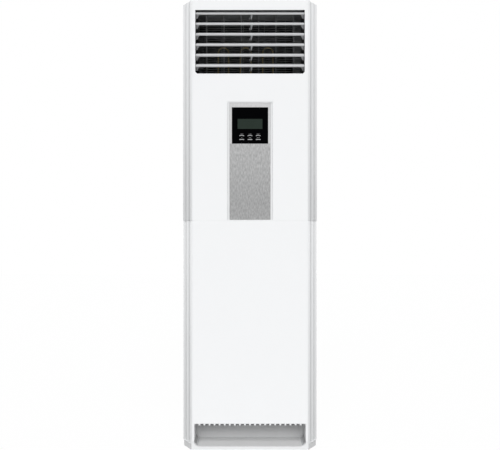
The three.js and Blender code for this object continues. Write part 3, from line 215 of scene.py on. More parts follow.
@dataclass(frozen=True)
class Finish:
    """One finish of the object, made into a material when it is first used."""

    name: str
    colour: Point
    roughness: float
    slot: str
    pattern: Pattern = Pattern.GRAIN
    grain_scale: float = ShaderKit.GRAIN_SCALE
    cloud_scale: float = ShaderKit.CLOUD_SCALE
    stretch: Point = EVEN
    grain_tone: float = 0.02
    cloud_tone: float = 0.02
    roughness_spread: float = 0.05
    least_roughness: float = 0.02
    bump: float = 0.00002
    metallic: float = 0.0
    specular: float = 0.5
    coat: float = 0.0
    dust: float = ShaderKit.DUST_AMOUNT
    dust_colour: Point = (0.55, 0.53, 0.5)
    # fade_foot, fade_top and fade paint a reflection: the colour runs from 1 - fade at the foot to 1 + fade
    # at the top.
    fade_foot: float = 0.0
    fade_top: float = 1.0
    fade: float = 0.0

    def material(self) -> bpy.types.Material:
        """Makes the finish's material, or finds it after the first call.

        Returns:
            The material.
        """
        found = bpy.data.materials.get(self.name)
        if found:
            return found
        made = bpy.data.materials.new(self.name)
        made.use_nodes = True
        wiring = Wiring(made.node_tree)
        place = wiring.add("TexCoord", {}).outputs["Object"]
        scales = {"Stretch": self.stretch, "Grain Scale": self.grain_scale, "Cloud Scale": self.cloud_scale}
        group = ShaderKit.surface(self.pattern)
        surface = wiring.add("Group", {"Vector": place, **scales}, node_tree=group).outputs
        colour = self._tone(wiring, self.colour, self.cloud_tone, surface["Cloud"])
        # Painted reflection: lighter towards the top, darker towards the foot.
        if self.fade:
            colour = self._with_painted_reflection(wiring, colour, place)
        specks = self._tone(wiring, EVEN, self.grain_tone, surface["Grain"])
        grainy = wiring.mix(1.0, colour, specks, "MULTIPLY")
        dust = wiring.add("Group", {"Vector": place, "Amount": self.dust}, node_tree=ShaderKit.dust())
        smooth = max(self.roughness - self.roughness_spread, self.least_roughness)
        coarse = self.roughness + self.roughness_spread
        rough = wiring.add("MapRange", {"Value": surface["Cloud"], "To Min": smooth, "To Max": coarse})
        relief = wiring.add("Bump", {"Height": surface["Grain"], "Distance": self.bump, "Strength": 1.0})
        wiring.feed(made.node_tree.nodes["Principled BSDF"], {
            "Base Color": wiring.mix(dust.outputs["Mask"], grainy, (*self.dust_colour, 1.0)),
            "Roughness": rough.outputs["Result"], "Normal": relief.outputs["Normal"],
            "Metallic": self.metallic, "Specular IOR Level": self.specular, "Coat Weight": self.coat,
        })
        return made

    def _with_painted_reflection(self, wiring: Wiring, colour: Socket, place: Socket) -> Socket:
        """Paints a reflection: makes a colour lighter towards its top and darker towards its foot.

        Args:
            wiring: the wiring of the material.
            colour: the colour.
            place: the position on the object.

        Returns:
            The colour with its painted reflection.
        """
        height = wiring.add("SeparateXYZ", {0: place}).outputs["Z"]
        rise = wiring.add("MapRange", {
            "Value": height, "From Min": self.fade_foot, "From Max": self.fade_top,
            "To Min": 1 - self.fade, "To Max": 1 + self.fade,
        })
        scaled = wiring.add("VectorMath", {0: colour, "Scale": rise.outputs["Result"]}, operation="SCALE")
        return scaled.outputs[0]

    @staticmethod
    def _tone(wiring: Wiring, colour: Point, spread: float, factor: Socket) -> Socket:
        """Makes a colour that wanders around the one given.

        Args:
            wiring: the wiring of the material.
            colour: the middle colour.
            spread: how far the colour departs from it each way, as a share of it.
            factor: the value that it follows.

        Returns:
            The colour.
        """
        shares = (1 - spread, 1 + spread)
        dark, light = ((*(min(part * share, 1.0) for part in colour), 1.0) for share in shares)
        return wiring.mix(factor, dark, light)


WHITE_PAINT = Finish(
    "white powder coat", (0.88, 0.888, 0.896), 0.42, "white_paint", grain_tone=0.006, cloud_tone=0.006
)
WHITE_PLASTIC = Finish(
    "white moulded plastic", (0.805, 0.813, 0.82), 0.48, "white_plastic", grain_tone=0.01, cloud_tone=0.008
)
# Painted shade: the white plastic made greyer where it stands in the shade of the inlet recess and under the
# trims.
PAINTED_SHADE_PLASTIC = Finish(
    "white plastic with painted shade", (0.69, 0.694, 0.698), 0.5, "white_plastic", grain_tone=0.01, cloud_tone=0.01
)
# Painted shade: the darkest grey, for the steepest faces of the recess coves.
DEEP_PAINTED_SHADE_PLASTIC = Finish(
    "white plastic with deep painted shade", (0.38, 0.383, 0.386), 0.5, "white_plastic", grain_tone=0.01, cloud_tone=0.01
)
LOUVRE_PLASTIC = Finish("pale grey louvre plastic", (0.68, 0.69, 0.7), 0.45, "louvre_plastic")
GREY_PLASTIC = Finish("grey moulded plastic", (0.5, 0.51, 0.52), 0.5, "grey_plastic", grain_tone=0.03)
DUCT_PLASTIC = Finish(
    "grey duct plastic", (0.42, 0.425, 0.428), 0.5, "grey_plastic", grain_tone=0.03, dust=0.15
)
DARK_PLASTIC = Finish(
    "dark moulded plastic", (0.045, 0.045, 0.048), 0.55, "dark_plastic", grain_tone=0.08, dust=0.06
)
VANE_PLASTIC = Finish(
    "dark grey vane plastic", (0.32, 0.32, 0.325), 0.5, "dark_plastic", grain_tone=0.06, dust=0.06
)
LINK_PLASTIC = Finish(
    "dark grey link plastic", (0.2, 0.2, 0.203), 0.5, "dark_plastic", grain_tone=0.06, dust=0.06
)
GUARD_WIRE = Finish("coated guard wire", (0.38, 0.385, 0.39), 0.5, "dark_plastic", grain_tone=0.04, dust=0.06)
# The plate's fade is a painted reflection, lighter at its top and darker at its foot.
BRUSHED_PLATE = Finish(
    "brushed metal plate", (0.685, 0.688, 0.691), 0.34, "brushed_plate", grain_scale=230.0, cloud_scale=6.0,
    stretch=(1.0, 1.0, 0.32), grain_tone=0.72, cloud_tone=0.05, metallic=1.0, dust=0.0,
    fade_foot=0.98, fade_top=1.205, fade=0.091,
)
# Painted highlight: a paler copy of the brushed plate for the bright frame round the display.
PAINTED_HIGHLIGHT_METAL = Finish(
    "brushed surround with painted highlight", (0.76, 0.762, 0.765), 0.36, "brushed_plate", grain_scale=180.0, cloud_scale=6.0,
    stretch=(1.0, 1.0, 0.55), grain_tone=0.25, metallic=1.0, dust=0.0,
)
BLACK_GLOSS = Finish(
    "polished black", (0.0006, 0.0006, 0.001), 0.12, "black_gloss",
    grain_tone=0.2, bump=0.000002, specular=0.014, dust=0.0,
)
DISPLAY = Finish(
    "unlit display", (0.027, 0.038, 0.031), 0.16, "display_glass",
    grain_tone=0.1, bump=0.000002, specular=0.02, dust=0.0,
)
DISPLAY_MARKS = Finish(
    "unlit display segments", (0.024, 0.034, 0.028), 0.2, "display_glass", specular=0.02, dust=0.0
)
BUTTON_SILVER = Finish(
    "silver button plastic", (0.36, 0.365, 0.37), 0.34, "button_grey", metallic=0.3, dust=0.0
)
PRINTED_MARKS = Finish("pale printed marks", (0.26, 0.262, 0.265), 0.5, "button_grey", dust=0.0)
ZINC = Finish(
    "galvanised sheet", (0.46, 0.47, 0.48), 0.42, "galvanised_steel", Pattern.SPANGLE, grain_scale=140.0,
    grain_tone=0.1, cloud_tone=0.05, bump=0.00001, metallic=0.9,
)
SCREW_STEEL = Finish(
    "zinc plated screw", (0.55, 0.56, 0.57), 0.3, "galvanised_steel", grain_tone=0.05, metallic=1.0
)
FIN_ALUMINIUM = Finish(
    "coated fin aluminium", (0.12, 0.11, 0.088), 0.5, "coil_aluminium", grain_tone=0.05, metallic=0.4
)
HEATED_STEEL = Finish(
    "heat-tinted tube", (0.5, 0.4, 0.2), 0.4, "heater_metal", cloud_scale=30.0,
    grain_tone=0.15, cloud_tone=0.3, metallic=0.8,
)
COPPER = Finish(
    "drawn copper", (0.7, 0.35, 0.2), 0.32, "copper", grain_tone=0.06, cloud_tone=0.12, metallic=1.0
)
BRASS = Finish("turned brass", (0.72, 0.54, 0.26), 0.28, "brass", grain_tone=0.05, metallic=1.0)
BEAD_FOAM = Finish(
    "bead foam", (0.125, 0.125, 0.13), 0.9, "grey_foam", Pattern.SPANGLE, grain_scale=260.0,
    grain_tone=0.12, bump=0.0004,
)
BLACK_RUBBER = Finish("black rubber", (0.03, 0.03, 0.03), 0.7, "dark_plastic", grain_tone=0.1, dust=0.2)
BOARD_GREEN = Finish("circuit board", (0.02, 0.12, 0.05), 0.35, "dark_plastic", grain_tone=0.1, coat=0.4)


# Mesh work


@dataclass(frozen=True)
class Rounding:
    """How far, in how many steps and from which turn, in radians, the edges of a part are rounded."""

    width: float
    segments: int = 2
    least_turn: float = 0.6

    def apply(self, part: bmesh.types.BMesh) -> None:
        """Rounds the edges of a part.

        Args:
            part: the part.
        """
        closed = (edge for edge in part.edges if edge.is_manifold)
        edges = [edge for edge in closed if edge.calc_face_angle(0.0) > self.least_turn]
        bmesh.ops.bevel(
            part, geom=edges, offset=self.width, segments=self.segments, profile=0.5,
            affect="EDGES", material=-1, clamp_overlap=True, offset_type="OFFSET",
        )


def extrude(part: bmesh.types.BMesh, faces: Sequence[bmesh.types.BMFace], push: Point) -> None:
    """Extrudes flat faces into a closed part.

    Args:
        part: the part.
        faces: the faces.
        push: how far and which way they are extruded.
    """
    pushed = bmesh.ops.extrude_face_region(part, geom=faces, use_keep_orig=True)
    moved = [item for item in pushed["geom"] if isinstance(item, bmesh.types.BMVert)]
    bmesh.ops.translate(part, verts=moved, vec=push)
    bmesh.ops.recalc_face_normals(part, faces=part.faces)


def arc(centre: Flat, radius: float, start: float, end: float, steps: int) -> list[Flat]:
    """Lays points on an arc.

    Args:
        centre: the arc's centre.
        radius: the arc's radius.
        start: the angle of its first point, in radians.
        end: the angle of its last point.
        steps: the number of steps.

    Returns:
        The points.
    """
    angles = [start + (end - start) * step / steps for step in range(steps + 1)]
    return [(centre[0] + radius * math.cos(angle), centre[1] + radius * math.sin(angle)) for angle in angles]


def rounded_route(corners: Sequence[Point], radius: float, steps: int = 8) -> list[Vector]:
    """Rounds the inner corners of a route.

    Args:
        corners: the route's corners, its two ends among them.
        radius: the radius of each bend.
        steps: the number of steps in each bend.

    Returns:
        The points of the rounded route.
    """
    corners = [Vector(corner) for corner in corners]
    points = [corners[0]]
    for before, corner, after in zip(corners, corners[1:], corners[2:]):
        back = (before - corner).normalized()
        ahead = (after - corner).normalized()
        half = back.angle(ahead) / 2
        centre = corner + (back + ahead).normalized() * (radius / math.sin(half))
        start = corner + back * (radius / math.tan(half)) - centre
        axis = ahead.cross(back).normalized()
        for step in range(steps + 1):
            points.append(centre + Matrix.Rotation((math.pi - 2 * half) * step / steps, 3, axis) @ start)
    return [*points, corners[-1]]


class Workpiece:
    """A piece in the making, shaped where it stands."""

    SHARP_TURN = math.radians(34)
    LEAST_BEND = math.radians(0.5)

    def __init__(self, name: str) -> None:
        """Starts an empty piece with that name."""
        self.name = name
        self.mesh = bmesh.new()

    def turn(self, matrix: Matrix) -> "Workpiece":
        """Moves the whole piece and returns it."""
        self.mesh.transform(matrix)
        return self

    def absorb(self, part: bmesh.types.BMesh, rounding: Rounding | None = None) -> "Workpiece":
        """Takes a finished part into the piece.

        Args:
            part: the part, which is used up.
            rounding: how its edges are rounded first.

        Returns:
            The piece itself.
        """
        if rounding is not None:
            rounding.apply(part)
        data = bpy.data.meshes.new("part")
        part.to_mesh(data)
        part.free()
        self.mesh.from_mesh(data)
        bpy.data.meshes.remove(data)
        return self

    def node(self, name: str, rounding: Rounding | None = None) -> "Workpiece":
        """Adds a copy of a solid.

        Args:
            name: the solid's name.
            rounding: how its edges are rounded.

        Returns:
            The piece itself.
        """
        part = bmesh.new()
        part.from_mesh(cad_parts[name].data)
        bmesh.ops.remove_doubles(part, verts=part.verts, dist=2 * WELD)
        bmesh.ops.dissolve_limit(part, angle_limit=self.LEAST_BEND, verts=part.verts, edges=part.edges)
        bmesh.ops.connect_verts_concave(part, faces=part.faces[:])
        return self.absorb(part, rounding)

    def box(self, low: Point, high: Point, rounding: Rounding | None = None) -> "Workpiece":
        """Adds a box.

        Args:
            low: its lowest corner.
            high: its highest corner.
            rounding: how its edges are rounded.

        Returns:
            The piece itself.
        """
        part = bmesh.new()
        size = Vector(high) - Vector(low)
        middle = Matrix.Translation((Vector(high) + Vector(low)) / 2)
        bmesh.ops.create_cube(part, size=1.0, matrix=middle @ Matrix.Diagonal((*size, 1.0)))
        return self.absorb(part, rounding)

    def prism(self, outline: Sequence[Point], push: Point, rounding: Rounding | None = None) -> "Workpiece":
        """Adds a flat outline that is extruded.

        Args:
            outline: the outline's corners.
            push: how far and which way it is extruded.
            rounding: how its edges are rounded.

        Returns:
            The piece itself.
        """
        part = bmesh.new()
        extrude(part, [part.faces.new([part.verts.new(corner) for corner in outline])], push)
        return self.absorb(part, rounding)

    def rod(
        self, start: Point, end: Point, radius: float, sides: int = 24, rounding: Rounding | None = None
    ) -> "Workpiece":
        """Adds a rod.

        Args:
            start: the middle of one end.
            end: the middle of the other end.
            radius: its radius, at its corners.
            sides: how many sides it has.
            rounding: how its edges are rounded.

        Returns:
            The piece itself.
        """
        part = bmesh.new()
        run = Vector(end) - Vector(start)
        turn = run.to_track_quat("Z", "Y").to_matrix().to_4x4()
        middle = Matrix.Translation((Vector(start) + Vector(end)) / 2)
        bmesh.ops.create_cone(
            part, cap_ends=True, cap_tris=False, segments=sides, radius1=radius, radius2=radius,
            depth=run.length, matrix=middle @ turn,
        )
        return self.absorb(part, rounding)

    def lathe(self, profile: Sequence[Flat], base: Point, steps: int) -> "Workpiece":
        """Adds a shape turned about an axis that runs straight backwards.

        Args:
            profile: pairs of radius and depth behind the base, all round the section.
            base: the point on the axis from which depths count.
            steps: the steps of the full turn.

        Returns:
            The piece itself.
        """
        part = bmesh.new()
        out, start = BACKWARDS.orthogonal().normalized(), Vector(base)
        points = [part.verts.new(start + out * radius + BACKWARDS * depth) for radius, depth in profile]
        edges = [part.edges.new(pair) for pair in zip(points, [*points[1:], points[0]])]
        bmesh.ops.spin(
            part, geom=points + edges, cent=base, axis=BACKWARDS, dvec=ORIGIN, angle=2 * math.pi, steps=steps,
            use_merge=True,
        )
        bmesh.ops.remove_doubles(part, verts=part.verts, dist=WELD)
        bmesh.ops.recalc_face_normals(part, faces=part.faces)
        return self.absorb(part)

    def tube(
        self, route: Sequence[Vector], radius: float, resolution: int = 4, closed: bool = False
    ) -> "Workpiece":
        """Adds a round tube along a route.

        Args:
            route: the points that its middle follows.
            radius: its outer radius.
            resolution: the curve's bevel resolution, which sets its number of sides.
            closed: whether the route is a loop.

        Returns:
            The piece itself.
        """
        curve = bpy.data.curves.new("route", "CURVE")
        curve.dimensions = "3D"
        curve.bevel_depth = radius
        curve.bevel_resolution = resolution
        curve.use_fill_caps = True
        spline = curve.splines.new("POLY")
        spline.points.add(len(route) - 1)
        for spot, place in zip(spline.points, route):
            spot.co = (*place, 1.0)
        spline.use_cyclic_u = closed
        holder = bpy.data.objects.new("route", curve)
        bpy.context.scene.collection.objects.link(holder)
        bpy.context.view_layer.update()
        data = bpy.data.meshes.new_from_object(holder.evaluated_get(bpy.context.evaluated_depsgraph_get()))
        part = bmesh.new()
        part.from_mesh(data)
        bmesh.ops.remove_doubles(part, verts=part.verts, dist=WELD)
        bmesh.ops.recalc_face_normals(part, faces=part.faces)
        bpy.data.objects.remove(holder)
        bpy.data.curves.remove(curve)
        bpy.data.meshes.remove(data)
        return self.absorb(part)

    def finish(
        self, finish: Finish, node: str = "", body: str = "cabinet", weighted: bool = True,
        sharp_turn: float = SHARP_TURN,
    ) -> bpy.types.Object:
        """Makes the piece an object that wears a finish and rides on a body.

        Args:
            finish: what it wears.
            node: the solid that it stands for, if it does.
            body: the body that it moves with.
            weighted: whether large faces keep their own normals.
            sharp_turn: the smallest turn of an edge that stays sharp, in radians.

        Returns:
            The object.
        """
        for face in self.mesh.faces:
            face.smooth = True
        for edge in self.mesh.edges:
            edge.smooth = edge.is_manifold and edge.calc_face_angle(0.0) < sharp_turn
        data = bpy.data.meshes.new(self.name)
        self.mesh.to_mesh(data)
        self.mesh.free()
        piece = bpy.data.objects.new(self.name, data)
        bpy.context.scene.collection.objects.link(piece)
        data.materials.append(finish.material())
        if weighted:
            piece.modifiers.new("even normals", "WEIGHTED_NORMAL").keep_sharp = True
        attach(piece, body)
        if node:
            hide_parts(node)
        LOG.info("%s rides on %s and has %d faces", self.name, body, len(data.polygons))
        return piece


def dress(
    node: str, finish: Finish, rounding: Rounding | None = None, body: str = "cabinet"
) -> bpy.types.Object:
    """Replaces a solid by a copy that wears a finish.

    Args:
        node: the solid's name.
        finish: what the copy wears.
        rounding: how its edges are rounded.
        body: the body that it moves with.

    Returns:
        The new piece.
    """
    return Workpiece(f"{node}_dressed").node(node, rounding).finish(finish, node, body)


def repaint(
    piece: bpy.types.Object, finishes: Sequence[Finish], choose: Callable[[bpy.types.MeshPolygon], int]
) -> None:
    """Gives some faces of a piece another finish.

    Args:
        piece: the piece.
        finishes: the other finishes.
        choose: gives the number of the finish that a face wears, or 0 for the piece's own.
    """
    for finish in finishes:
        piece.data.materials.append(finish.material())
    for face in piece.data.polygons:
        face.material_index = choose(face)


# Sub-assemblies


@dataclass
class FrontPanels:
    """Painted front panels and top cover, with the strip behind the joint of the panels."""

    rounding: Rounding = Rounding(0.0006, 3)
    dip_height: float = 0.008
    dip_depth: float = 0.0024
    dip_power: float = 1.5
    dip_below: float = 0.2
    dip_beside: float = 0.0004
    skin: float = 0.0015
    strip_behind: float = 0.0004
    strip_depth: float = 0.0076
    strip_inset: float = 0.001
    strip_inside: float = 0.0001

    def build(self) -> None:
        """Builds the panels, the cover and the strip."""
        self._upper_panel()
        dress("lower_front_panel", WHITE_PAINT, self.rounding, "lower_panel")
        dress("top_cover", WHITE_PAINT, self.rounding)
        self._joint_strip()

    def _upper_panel(self) -> None:
        """Builds the upper panel, which dips a little over the opening of the controls."""
        node = "upper_front_panel"
        piece = Workpiece(f"{node}_dressed").node(node, self.rounding)
        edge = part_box("control_bezel")[1]
        for place, normal in (
            ((0, 0, edge.z + self.dip_height), (0, 0, 1)), ((0, 0, edge.z + self.dip_height / 2), (0, 0, 1)),
            ((edge.x, 0, 0), (1, 0, 0)), ((-edge.x, 0, 0), (1, 0, 0)),
        ):
            whole = piece.mesh.verts[:] + piece.mesh.edges[:] + piece.mesh.faces[:]
            bmesh.ops.bisect_plane(piece.mesh, geom=whole, dist=WELD, plane_co=place, plane_no=normal)
        for spot in piece.mesh.verts:
            share = 1 - (spot.co.z - edge.z) / self.dip_height
            over = 0 < share < 1 + self.dip_below and abs(spot.co.x) < edge.x + self.dip_beside
            if over and spot.co.y < FRONT_Y + self.skin:
                spot.co.y += self.dip_depth * min(share, 1.0) ** self.dip_power
        piece.finish(WHITE_PAINT, node)

    def _joint_strip(self) -> None:
        """Builds the white strip that closes the joint between the two front panels."""
        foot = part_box("lower_front_panel")[1].z - self.strip_inside
        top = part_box("upper_front_panel")[0].z + self.strip_inside
        half, front = FRONT_HALF - self.strip_inset, FRONT_Y + self.strip_behind
        piece = Workpiece("panel_joint_strip")
        piece.box((-half, front, foot), (half, front + self.strip_depth, top)).finish(WHITE_PLASTIC)


@dataclass
class Plinth:
    """Plinth with a slanted boot at each end, and the ledges on which the lower trims end."""

    rounding: Rounding = Rounding(0.0016, 3)
    slant: float = 0.4
    boot_inner: float = 0.231
    boot_outer: float = 0.2655
    ledge_top: float = 0.0251
    ledge_height: float = 0.003
    ledge_proud: float = 0.0022
    ledge_rooted: float = 0.001
    ledge_back: float = 0.002
    nose_share: float = 1.6
    ledge_rounding: Rounding = Rounding(0.0006)

    def build(self) -> None:
        """Builds the plinth and its ledges."""
        node = "base_plinth"
        piece = Workpiece(f"{node}_dressed").node(node, self.rounding).finish(WHITE_PLASTIC, node)
        # The boots' faces get the greyer plastic as painted shade under the ends of the trims.
        repaint(piece, (PAINTED_SHADE_PLASTIC,), self._boot_painted_shade)
        self._ledges()

    def _boot_painted_shade(self, face: bpy.types.MeshPolygon) -> int:
        """Returns 1 for a face of a boot, which is painted a little greyer than the lip as painted shade
        under the trims.
        """
        slanted = face.normal.y < -self.slant and abs(face.normal.x) > self.slant
        return int(slanted and abs(face.center.x) > self.boot_inner)

    def _ledges(self) -> None:
        """Builds the ledge on each side of the plinth."""
        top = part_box("base_plinth")[0].z + self.ledge_top
        width = self.boot_outer - self.boot_inner
        length = math.hypot(width, WING_DEPTH)
        out_x, out_y = self.ledge_proud * WING_DEPTH / length, -self.ledge_proud * width / length
        nose = self.nose_share * out_x
        back = FRONT_Y + WING_DEPTH
        corners = (
            (self.boot_inner - self.ledge_rooted, FRONT_Y + self.ledge_rooted), (self.boot_inner, FRONT_Y),
            (self.boot_inner + nose, FRONT_Y + nose * WING_DEPTH / width + out_y),
            (self.boot_outer + out_x, back + out_y), (self.boot_outer + out_x, back + self.ledge_back),
            (self.boot_outer - self.ledge_rooted, back + self.ledge_back),
        )
        piece = Workpiece("plinth_ledges")
        for side in SIDES:
            outline = [(side * x, y, top) for x, y in corners]
            piece.prism(outline, (0, 0, -self.ledge_height), self.ledge_rounding)
        piece.finish(WHITE_PLASTIC, weighted=False)


@dataclass
class InletRecess:
    """Recess of the air inlet, with its comb, a strip of painted shade behind it and the coves at the ends of
    its floor.
    """

    tip_depth: float = 0.0015
    comb_height: float = 0.009
    comb_depth: float = 0.04
    wall: float = 0.003
    strip_half: float = 0.2
    strip_foot: float = 0.0612
    strip_proud: float = 0.0004
    cove_radius: float = 0.021
    cove_half: float = 0.2188
    cove_front: float = -0.184
    cove_length: float = 0.084
    cove_steps: int = 12
    cove_grey: float = 0.35
    cove_dark: float = 0.7

    def build(self) -> None:
        """Builds the recess."""
        node = "recess_liner"
        # The liner wears the greyer plastic as painted shade of the recess.
        piece = Workpiece(f"{node}_dressed").node(node).finish(PAINTED_SHADE_PLASTIC, node)
        # The comb's sides get grey plastic as painted shade; the tips keep the plain white.
        repaint(piece, (WHITE_PLASTIC, GREY_PLASTIC), self._comb_painted_shade)
        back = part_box(node)[1].y - self.wall
        # A grey strip on the back wall behind the comb paints the shade seen between its teeth.
        strip = Workpiece("recess_painted_shade_strip")
        low = (-self.strip_half, back - self.strip_proud, self.strip_foot)
        strip.box(low, (self.strip_half, back + GAP, self.comb_root)).finish(DUCT_PLASTIC)
        self._coves(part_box(node)[0].z + self.wall)

    @cached_property
    def comb_root(self) -> float:
        """Returns the height from which the comb hangs down."""
        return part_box("recess_liner")[1].z - self.comb_height

    def _comb_painted_shade(self, face: bpy.types.MeshPolygon) -> int:
        """Returns 1 for the white tip of a tooth and 2 for its sides, which get grey plastic as painted shade
        between the teeth.
        """
        depth, comb = face.center.y - FRONT_Y, face.center.z > self.comb_root
        return 1 if depth < self.tip_depth else 2 * int(comb and depth < self.comb_depth)

    def _cove_painted_shade(self, face: bpy.types.MeshPolygon) -> int:
        """Returns 1 or 2 for the steeper faces of a cove, which get greyer plastic as painted shade, darkest
        where steepest.
        """
        steep = abs(face.normal.x)
        return int(steep > self.cove_grey) + int(steep > self.cove_dark)

    def _coves(self, floor: float) -> None:
        """Builds the coves that round both ends of the recess floor.

        Args:
            floor: the height of the floor.
        """
        piece = Workpiece("recess_coves")
        centre = (self.cove_half - self.cove_radius, floor + self.cove_radius)
        curve = arc(centre, self.cove_radius, 0, -math.pi / 2, self.cove_steps)
        for side in SIDES:
            outline = [(side * x, self.cove_front, z) for x, z in [(self.cove_half, floor), *curve]]
            piece.prism(outline, (0, self.cove_length, 0))
        # The coves' steeper faces get grey plastic as painted shade in the corners of the recess.
        repaint(piece.finish(PAINTED_SHADE_PLASTIC, weighted=False), (GREY_PLASTIC, DEEP_PAINTED_SHADE_PLASTIC), self._cove_painted_shade)


@dataclass
class CornerTrims:
    """Four fluted trims on the slanted corners, each with a roll beside the front panel."""

    thickness: float = 0.006
    roll_share: float = 0.22
    roll_height: float = 0.004
    flute_depth: float = 0.0025
    flutes: int = 2
    band_steps: int = 14
    lower_inset: float = 0.0016
    rounding: Rounding = Rounding(0.0004, 2, 1.2)
    crest_turn: float = math.radians(25)

    def build(self) -> None:
        """Builds the trims."""
        for row, inset in (("upper", 0.0), ("lower", self.lower_inset)):
            for word, side in zip(("left", "right"), SIDES):
                node = f"{row}_{word}_trim"
                low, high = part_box(node)
                outline = [(side * x, y, low.z) for x, y in self._section(inset)]
                piece = Workpiece(f"{node}_fluted").prism(outline, (0, 0, high.z - low.z), self.rounding)
                piece.finish(WHITE_PLASTIC, node, weighted=False, sharp_turn=self.crest_turn)

    def _section(self, inset: float) -> list[Flat]:
        """Lays out the section of a right-hand trim.

        Args:
            inset: how far the trim ends short of the unit's full width.

        Returns:
            The section's points, seen from above.
        """
        start = FRONT_HALF + GAP
        run = HALF_WIDTH - inset - start
        length = math.hypot(run, WING_DEPTH)
        section = []
        for step in range((self.flutes + 1) * self.band_steps + 1):
            share, relief = self._face_point(step / self.band_steps)
            x = start + run * share + relief * WING_DEPTH / length
            section.append((x, FRONT_Y + WING_DEPTH * share - relief * run / length))
        thick = self.thickness * length
        section.append((start + run - thick / WING_DEPTH, FRONT_Y + WING_DEPTH))
        section.append((start, FRONT_Y + thick / run))
        return section

    def _face_point(self, bands: float) -> Flat:
        """Finds a point on the trim's face, which has a roll first and then the flutes.

        Args:
            bands: how many of these lie before the point.

        Returns:
            The share of the trim's width there, and how far the face stands out.
        """
        wave = math.sin(math.pi * (bands - math.floor(bands)))
        if bands < 1:
            return bands * self.roll_share, self.roll_height * wave
        return self.roll_share + (bands - 1) * (1 - self.roll_share) / self.flutes, -self.flute_depth * wave


@dataclass
class SideAndBackPanels:
    """Side panels with their air slits, and back panel with its pressed fields, seals and wall bracket."""

    side_rounding: Rounding = Rounding(0.0005)
    slit_count: int = 20
    slit_pitch: float = 0.02
    slit_length: float = 0.06
    slit_front: float = -0.1297
    lowest_hood: float = 0.1752
    hood_height: float = 0.0055
    hood_margin: float = 0.002
    hood_rooted: float = 0.0012
    hood_proud: float = 0.0016
    hood_rounding: Rounding = Rounding(0.0013, 3)
    back_rounding: Rounding = Rounding(0.0004)
    field_rows: int = 3
    field_pitch: float = 0.42
    field_height: float = 0.38
    field_inner: float = 0.012
    field_outer: float = 0.225
    field_rooted: float = 0.0012
    field_proud: float = 0.0013
    field_rounding: Rounding = Rounding(0.0012, 3)
    low_field: Sequence[float] = (-0.15, 0.12, 0.12, 0.34)
    low_field_rooted: float = 0.001
    low_field_proud: float = 0.0012
    low_field_rounding: Rounding = Rounding(0.0011, 3)
    seal_outline: Sequence[float] = (0.1655, 0.2585, 0.2075, 0.2625)
    seal_corner: float = 0.0125
    seal_corner_steps: int = 5
    seal_width: float = 0.0035
    seal_rooted: float = 0.0022
    seal_proud: float = 0.0014
    seal_rounding: Rounding = Rounding(0.0005, 2, 1.2)
    bush_place: Flat = (-0.205, 0.235)
    bush_steps: int = 28
    bush_profile: Sequence[Flat] = (
        (0.0102, -0.0024), (0.0102, 0.0), (0.0132, 0.0002), (0.0132, 0.001), (0.0122, 0.0015),
        (0.009, 0.0012), (0.0086, -0.0024),
    )

    def build(self) -> None:
        """Builds the panels."""
        for word, side in zip(("left", "right"), SIDES):
            self._side(f"{word}_side_panel", side)
        self._back()
        dress("wall_bracket", ZINC, self.back_rounding)
        self._seal()
        bush = Workpiece("cable_bush")
        place = (self.bush_place[0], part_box("back_panel")[1].y, self.bush_place[1])
        bush.lathe(self.bush_profile, place, self.bush_steps).finish(BLACK_RUBBER)

    def _side(self, node: str, side: int) -> None:
        """Builds a side panel, with a pressed hood over each air slit.

        Args:
            node: the panel's solid.
            side: -1 on the left, 1 on the right.
        """
        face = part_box("right_side_panel")[1].x
        near, far = sorted((side * (face - self.hood_rooted), side * (face + self.hood_proud)))
        front = self.slit_front - self.hood_margin
        back = front + self.slit_length + 2 * self.hood_margin
        piece = Workpiece(f"{node}_dressed").node(node, self.side_rounding)
        for index in range(self.slit_count):
            foot = self.lowest_hood + index * self.slit_pitch
            piece.box((near, front, foot), (far, back, foot + self.hood_height), self.hood_rounding)
        piece.finish(WHITE_PAINT, node)

    def _back(self) -> None:
        """Builds the back panel with its pressed fields."""
        node = "back_panel"
        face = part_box(node)[1].y
        piece = Workpiece(f"{node}_pressed").node(node, self.back_rounding)
        front, back = face - self.field_rooted, face + self.field_proud
        for row in range(1, self.field_rows + 1):
            foot = row * self.field_pitch
            for side in SIDES:
                left, right = sorted((side * self.field_inner, side * self.field_outer))
                piece.box((left, front, foot), (right, back, foot + self.field_height), self.field_rounding)
        left, right, foot, top = self.low_field
        low, high = (left, face - self.low_field_rooted, foot), (right, face + self.low_field_proud, top)
        piece.box(low, high, self.low_field_rounding).finish(ZINC, node)

    def _seal(self) -> None:
        """Builds the rubber seal round the opening of the pipes."""
        left, right, low, high = self.seal_outline
        corner, face_y = self.seal_corner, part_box("back_panel")[1].y
        near = face_y - self.seal_rooted
        inner = ((right - corner, high - corner), (left + corner, high - corner))
        inner += ((left + corner, low + corner), (right - corner, low + corner))
        outline = []
        for quarter, centre in enumerate(inner):
            start = quarter * math.pi / 2
            outline += arc(centre, corner, start, start + math.pi / 2, self.seal_corner_steps)
        part = bmesh.new()
        face = part.faces.new([part.verts.new((x, near, z)) for x, z in outline])
        bmesh.ops.inset_individual(part, faces=[face], thickness=self.seal_width, use_even_offset=True)
        bmesh.ops.delete(part, geom=[face], context="FACES")
        extrude(part, part.faces[:], (0, self.seal_proud + self.seal_rooted, 0))
        Workpiece("pipe_opening_seal").absorb(part, self.seal_rounding).finish(BLACK_RUBBER)


